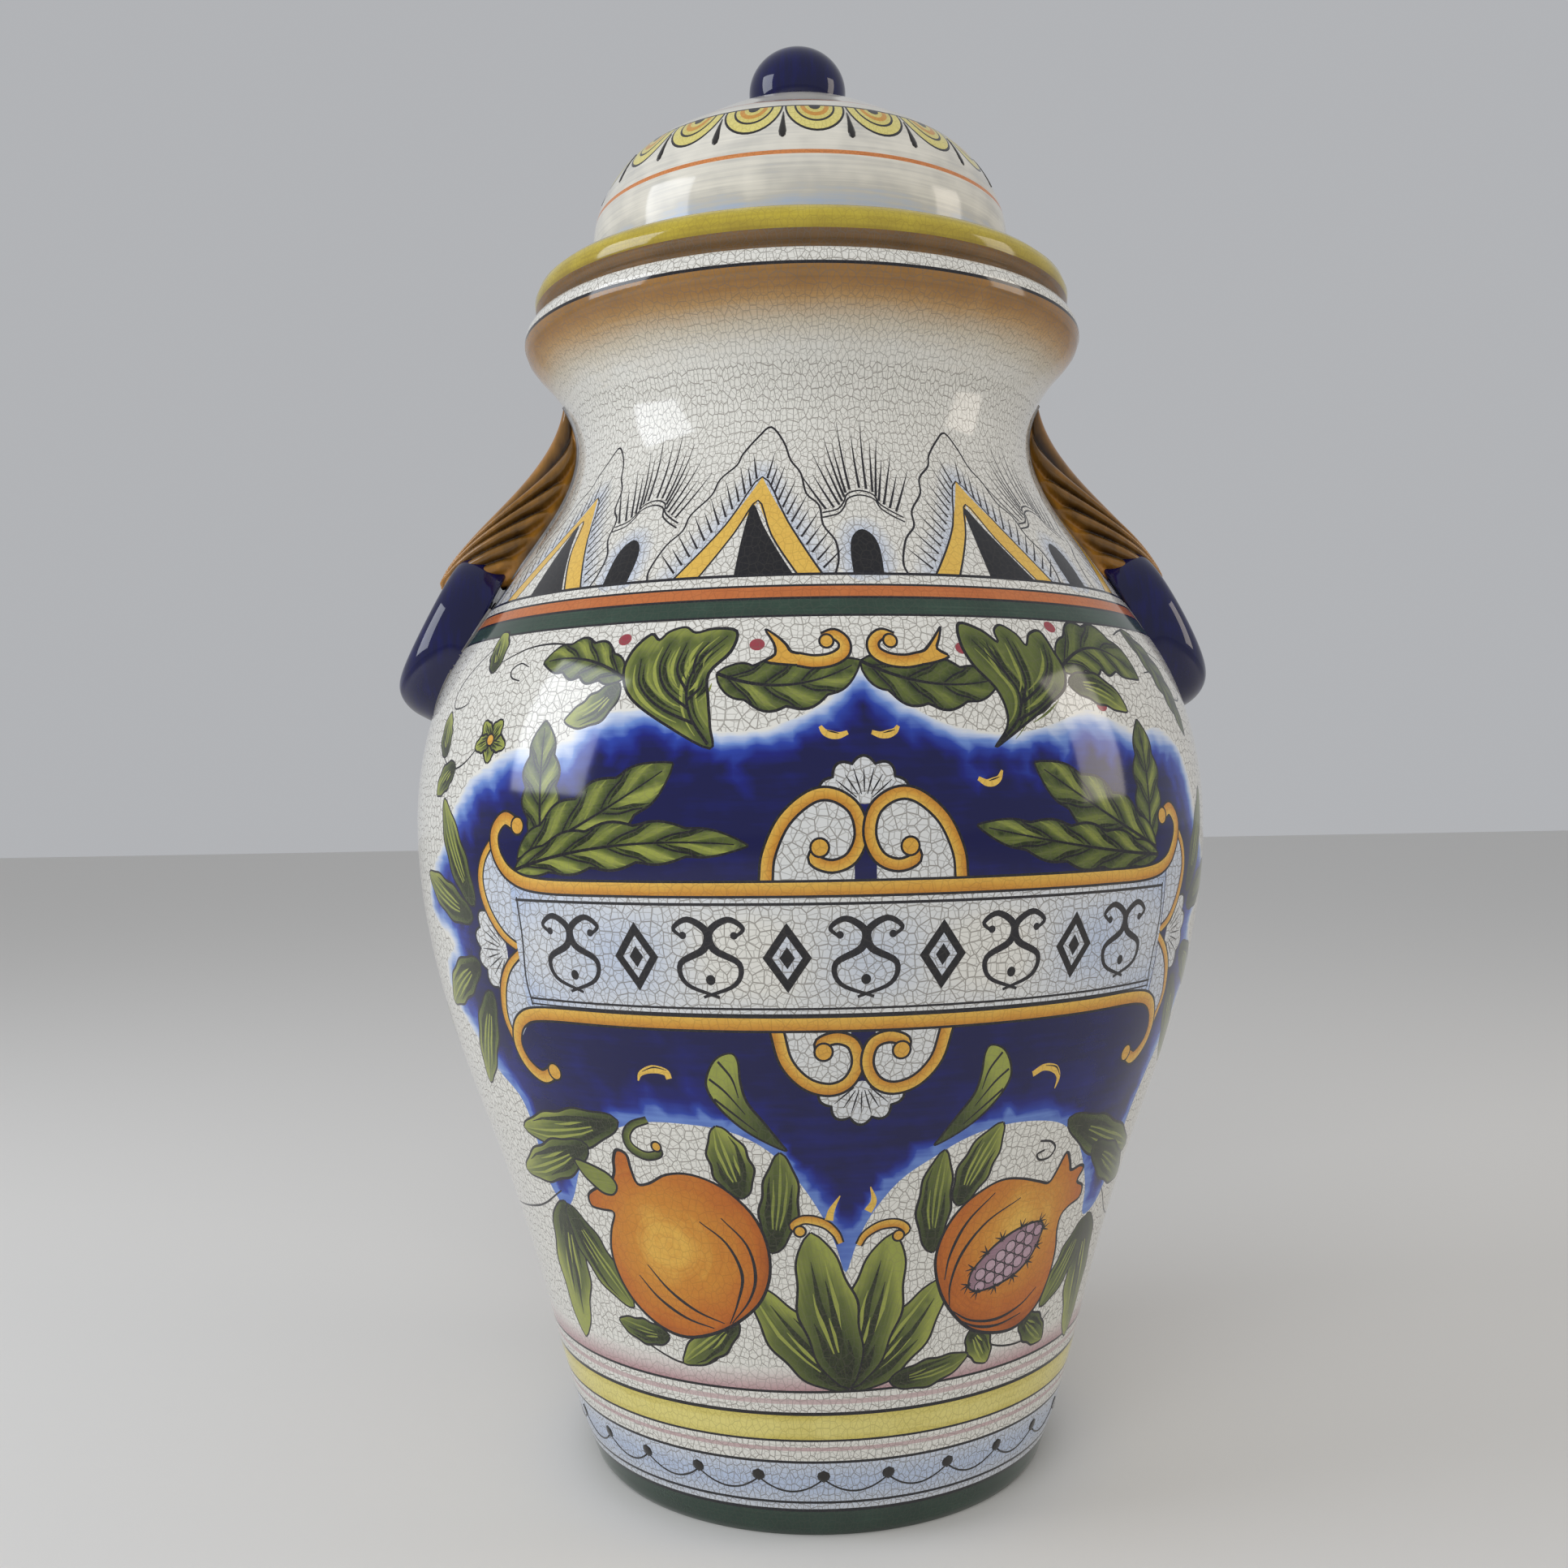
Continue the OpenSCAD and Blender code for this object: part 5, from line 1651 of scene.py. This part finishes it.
    # Honey glaze over relief: it runs off the ribs and pools almost black between them
    GLAZES["amber"] = glaze("honey_amber_glaze", [
        (0.0, "#120B07"), (0.30, "#33200F"), (0.55, "#72501F"), (0.8, c.amber), (1.0, "#C98A3C")],
        crack=0.0, streak=0.12, streak_mm=(3, 9), roughness=0.06, brush=None)
    # Cobalt poured thick over rings and knob: even, dark and very glossy
    GLAZES["navy"] = glaze("thick_cobalt_glaze", [
        (0.0, "#0A0D3C"), (0.55, c.navy), (1.0, "#3A4EA8")],
        crack=0.0, streak=0.16, streak_mm=(2, 18), roughness=0.05, brush=None)
    # White slip that squeezed out where the handles were luted on
    GLAZES["slip"] = glaze("luting_slip_glaze", [
        (0.0, "#6C6A6A"), (0.5, "#A7A49C"), (1.0, "#D6D2C6")],
        crack=0.15, streak=0.3, streak_mm=(2, 6), roughness=0.2, brush=None)
    GLAZES["clay"] = clay("bare_earthenware")


def dress(obj, body, slot, *nodes, paint=None):
    """Gives a finished piece its glaze, where it has none yet, and hands it to the frame."""
    if paint:
        obj.data.materials.append(GLAZES[paint])
    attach(obj, body)
    if nodes:
        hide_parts(*nodes)
    return obj


# The values that a user would change

def number_prop(name, description, value, **kind):
    return bpy.props.FloatProperty(name=name, description=description, default=value, **kind)


def length_prop(name, description, mm):
    return number_prop(name, description, mm * MM, unit="LENGTH", subtype="DISTANCE", precision=4)


def angle_prop(name, description, degrees):
    return number_prop(name, description, degrees * DEG, unit="ROTATION", subtype="ANGLE")


def power_prop(name, description, watts):
    return number_prop(name, description, watts, unit="POWER", subtype="POWER")


def count_prop(name, description, value):
    return bpy.props.IntProperty(name=name, description=description, default=value)


def hex_prop(name, description, value):
    return bpy.props.StringProperty(name=name, description=description, default=value)


class JarColours(bpy.types.PropertyGroup):
    """Glaze colours, as sRGB hex values."""
    white: hex_prop("White", "Tin glaze ground", "#E6E4DC")
    wash: hex_prop("Blue wash", "Thin cobalt over the white", "#A9BEE2")
    cobalt: hex_prop("Cobalt", "Blue field behind the scrolls", "#0D1676")
    navy: hex_prop("Navy", "Thick cobalt on rings and knob", "#0A1080")
    leaf_dark: hex_prop("Leaf shade", "Shaded side of the leaves", "#3B4720")
    leaf_light: hex_prop("Leaf light", "Lit side of the leaves", "#9BA24A")
    fruit: hex_prop("Fruit", "Pomegranate skin", "#C06A1E")
    ochre: hex_prop("Ochre", "Scrolls and borders", "#D59A38")
    rust: hex_prop("Rust", "Band under the neck", "#C4703A")
    deep_green: hex_prop("Green", "Band on the shoulder and foot", "#2C4236")
    yellow: hex_prop("Yellow", "Wide band and lid rim", "#C2AE3A")
    amber: hex_prop("Amber", "Leaf lugs where the glaze is thin", "#A97427")


class JarSizes(bpy.types.PropertyGroup):
    """Sizes of the painting and of the mesh."""
    mesh_step: length_prop("Mesh step", "Longest side of a triangle on the wall", 4.0)
    swag_drop: length_prop("Swag drop", "How far the foot band's swags hang", 5.5)
    dot: length_prop("Dot", "Radius of the drops on the foot band", 2.5)
    dots: count_prop("Dots", "Drops round the foot band", 27)
    scallops: count_prop("Scallops", "Scallops round the lid", 20)
    neck_repeats: count_prop("Neck repeats", "Hoods round the neck", 9)


class StageSettings(bpy.types.PropertyGroup):
    """Camera and light."""
    camera_x: length_prop("Camera left", "Camera place on X", -42.6)
    camera_y: length_prop("Camera away", "Camera place on Y", -658.6)
    camera_z: length_prop("Camera height", "Camera place on Z", 283.8)
    heading: angle_prop("Heading", "From +Y towards +X", 2.786)
    pitch: angle_prop("Pitch", "Camera pitch", -0.1505)
    roll: angle_prop("Roll", "Camera roll", -0.894)
    lens: number_prop("Lens", "Focal length in mm", 34.66, unit="CAMERA")
    key: power_prop("Window light", "Power of the window", 11.0)
    fill: power_prop("Room light", "Power of the room side", 4.0)
    front: power_prop("Front light", "Power of the soft front light", 16.0)
    sky: number_prop("Ambient", "Strength of the world", 0.55)


class JAR_OT_glazes(bpy.types.Operator):
    """Mix every glaze"""
    bl_idname = "jar.glazes"
    bl_label = "Glazes"

    def execute(self, context):
        make_glazes(context.scene.jar_colours)
        return {"FINISHED"}


class JAR_OT_wall(bpy.types.Operator):
    """Paint the jar's outside and turn its inside and foot"""
    bl_idname = "jar.wall"
    bl_label = "Jar"

    def execute(self, context):
        sizes = context.scene.jar_sizes
        canvas = Canvas(JAR_WALL, PANELS[0])
        paint_jar(canvas, sizes)
        skin = Skin(canvas, sizes.mesh_step / MM, JAR_SHEET_K, PANELS[1:-1])
        for side, low, high in zip(PANEL_SIDES, PANELS, PANELS[1:]):
            panel = skin.mesh("jar_wall_" + side, (low, high))
            dress(panel, "jar", "white_glaze", "jar_body")
        tree = turning_tree()
        down = [LIP_SPLIT] + between(JAR_PATH, MOUTH_EDGE, JAR_PATH[-1])
        inside = turned("jar_inside", rounded(down, 7).tolist() + [(0, FLOOR_Z)],
                        GLAZES["white"], tree)
        dress(inside, "jar", "white_glaze")
        under = between(JAR_PATH, JAR_PATH[0], FOOT_CORNER)
        foot = turned("jar_foot", [(0, under[0][1])] + under, GLAZES["clay"], tree)
        dress(foot, "jar", "white_glaze")
        around = repeat_tree()
        step, sag, size = 360 / sizes.dots, sizes.swag_drop / MM, 2 * sizes.dot / MM
        spot = [(DROP_START, DROP_Z + size * dz) for dz in (-0.5, -0.3, 0, 0.3, 0.5)]
        drop = relief_mesh("foot_drops", JAR_WALL, spot,
                           (0.2, 0.8 * size, size, 0.8 * size, 0.2), sides=10)
        hung = [(DROP_START + step * t, DROP_Z - 1.2 - 4 * sag * t * (1 - t))
                for t in np.linspace(0.04, 0.96, 13)]
        swag = relief_mesh("foot_swags", JAR_WALL, hung, (0.7, 0.9, 0.7), rise=0.2)
        for base in (drop, swag):
            row = grown(base.name, base, around, GLAZES["ink"], Count=sizes.dots)
            dress(row, "jar", "white_glaze")
        return {"FINISHED"}


class JAR_OT_handles(bpy.types.Operator):
    """Model the leaf lugs and the rings"""
    bl_idname = "jar.handles"
    bl_label = "Handles"

    def execute(self, context):
        lug = lug_mesh("right_lug_glazed", JAR_WALL)
        ring = ring_mesh("right_ring_glazed", JAR_WALL)
        both_sides = (("right", lambda mesh: mesh), ("left", mirrored))
        for side, make in both_sides:
            dress(new_object(side + "_lug_glazed", make(lug)), "jar", "amber_glaze",
                  side + "_lug", paint="amber")
            dress(new_object(side + "_ring_glazed", make(ring)), "jar", "cobalt_glaze",
                  side + "_ring", paint="navy")
        tree = bead_tree()
        joints = (("ring", ring_edge(JAR_WALL), 1.0), ("lug", lug_edge(JAR_WALL), 1.5))
        for side, make in both_sides:
            for part, edge, radius in joints:
                line = make(chain("slip_line", edge))
                bead = grown(f"{side}_{part}_slip", line, tree, GLAZES["slip"], Radius=radius * MM)
                dress(bead, "jar", "white_glaze")
        return {"FINISHED"}


class JAR_OT_lid(bpy.types.Operator):
    """Paint the lid, and turn its inside and knob"""
    bl_idname = "jar.lid"
    bl_label = "Lid"

    def execute(self, context):
        sizes = context.scene.jar_sizes
        canvas = Canvas(LID_WALL)
        paint_lid(canvas, sizes)
        split = float(LID_WALL.v_of_z(LID_SPLIT_Z))
        skin = Skin(canvas, sizes.mesh_step / MM, LID_SHEET_K, [], [split])
        side = skin.mesh("lid_side", v_range=(0, split))
        dress(side, "lid", "white_glaze", "lid_dome")
        crown = skin.mesh("lid_crown", v_range=(split, 1e9))
        dress(crown, "lid", "white_glaze", "lid_dome")
        a = SCALLOP_START + 180 / sizes.scallops
        hung = [(a, z) for z in (541, 538.5, 536, 533.5, 531, 529, 528.2)]
        tick = relief_mesh("lid_drops", LID_WALL, hung, (0.6, 1.2, 1.7, 2.4, 3.0, 2.4, 0.6))
        drops = grown("lid_drops", tick, repeat_tree(), GLAZES["ink"], Count=sizes.scallops)
        dress(drops, "lid", "white_glaze")
        tree = turning_tree()
        under = between(LID_PATH, LID_PATH[0], BAND_CORNER)
        inside = turned("lid_inside", under, GLAZES["white"], tree)
        dress(inside, "lid", "white_glaze")
        knob = turned("lid_knob_glazed", rounded([(0, KNOB_PATH[0][1])] + KNOB_PATH, 1.2).tolist(),
                      GLAZES["navy"], tree, steps=96)
        dress(knob, "lid", "cobalt_glaze", "lid_knob")
        return {"FINISHED"}


class JAR_OT_stage(bpy.types.Operator):
    """Set the floor, the lights and the camera"""
    bl_idname = "jar.stage"
    bl_label = "Stage"

    def execute(self, context):
        s = context.scene.jar_stage
        half = 6.0
        mesh = bpy.data.meshes.new("floor")
        corners = [(-half, -half, 0), (half, -half, 0), (half, half, 0), (-half, half, 0)]
        mesh.from_pydata(corners, [], [(0, 1, 2, 3)])
        floor = new_object("floor", mesh)
        mesh.materials.append(plain_stage("matt_paper_floor", "#E4E2DE", 0.8))
        camera = bpy.data.objects.new("camera", bpy.data.cameras.new("camera"))
        camera.data.lens = s.lens
        camera.data.sensor_width = 36
        camera.data.clip_start = 0.01
        cp, sp = math.cos(s.pitch), math.sin(s.pitch)
        ch, sh = math.cos(s.heading), math.sin(s.heading)
        ahead = Vector((cp * sh, cp * ch, sp))
        right = Vector((ch, -sh, 0))
        up = right.cross(ahead)
        cr, sr = math.cos(s.roll), math.sin(s.roll)
        right, up = cr * right + sr * up, cr * up - sr * right
        turn = Matrix((right, up, -ahead)).transposed().to_4x4()
        camera.matrix_world = Matrix.Translation((s.camera_x, s.camera_y, s.camera_z)) @ turn
        context.scene.collection.objects.link(camera)
        bpy.context.scene.camera = camera
        target = Vector((0, 0, 0.3))
        for name, place, width, height, power, colour in (
                ("window", (-1.55, -0.35, 0.95), 0.8, 1.0, s.key, "#F2F7FF"),
                ("room", (1.6, -0.25, 0.8), 0.5, 0.9, s.fill, "#FFF4E6"),
                ("front", (-0.5, -1.9, 1.7), 1.6, 1.2, s.front, "#FFFFFF")):
            lamp = bpy.data.lights.new(name, "AREA")
            lamp.shape = "RECTANGLE"
            lamp.size, lamp.size_y, lamp.energy = width, height, power
            lamp.color = linear(colour)[:3]
            obj = bpy.data.objects.new(name, lamp)
            aim = (target - Vector(place)).to_track_quat("-Z", "Y")
            obj.matrix_world = Matrix.Translation(place) @ aim.to_matrix().to_4x4()
            obj.visible_glossy = name != "front"
            context.scene.collection.objects.link(obj)
        world = bpy.data.worlds.new("studio")
        context.scene.world = world
        world.use_nodes = True
        n = world.node_tree.nodes
        n["Background"].inputs["Color"].default_value = linear("#E8EAEE")
        n["Background"].inputs["Strength"].default_value = s.sky
        context.scene.view_settings.view_transform = "Standard"
        return {"FINISHED"}


STEPS = (JAR_OT_glazes, JAR_OT_wall, JAR_OT_handles, JAR_OT_lid, JAR_OT_stage)


class JAR_PT_panel(bpy.types.Panel):
    """The jar's sizes, colours and pieces"""
    bl_idname = "JAR_PT_panel"
    bl_label = "Jar"
    bl_space_type = "VIEW_3D"
    bl_region_type = "UI"
    bl_category = "Jar"

    def draw(self, context):
        for group in (context.scene.jar_colours, context.scene.jar_sizes, context.scene.jar_stage):
            box = self.layout.box()
            for key in group.__annotations__:
                box.prop(group, key)
        for step in STEPS:
            self.layout.operator(step.bl_idname)


GROUPS = {"jar_colours": JarColours, "jar_sizes": JarSizes, "jar_stage": StageSettings}


def register():
    for cls in (*GROUPS.values(), *STEPS, JAR_PT_panel):
        bpy.utils.register_class(cls)
    for key, cls in GROUPS.items():
        setattr(bpy.types.Scene, key, bpy.props.PointerProperty(type=cls))


def unregister():
    for key in GROUPS:
        delattr(bpy.types.Scene, key)
    for cls in reversed((*GROUPS.values(), *STEPS, JAR_PT_panel)):
        bpy.utils.unregister_class(cls)


def main():
    register()
    for step in STEPS:
        group, name = step.bl_idname.split(".")
        getattr(getattr(bpy.ops, group), name)()


if __name__ == "__main__":
    main()
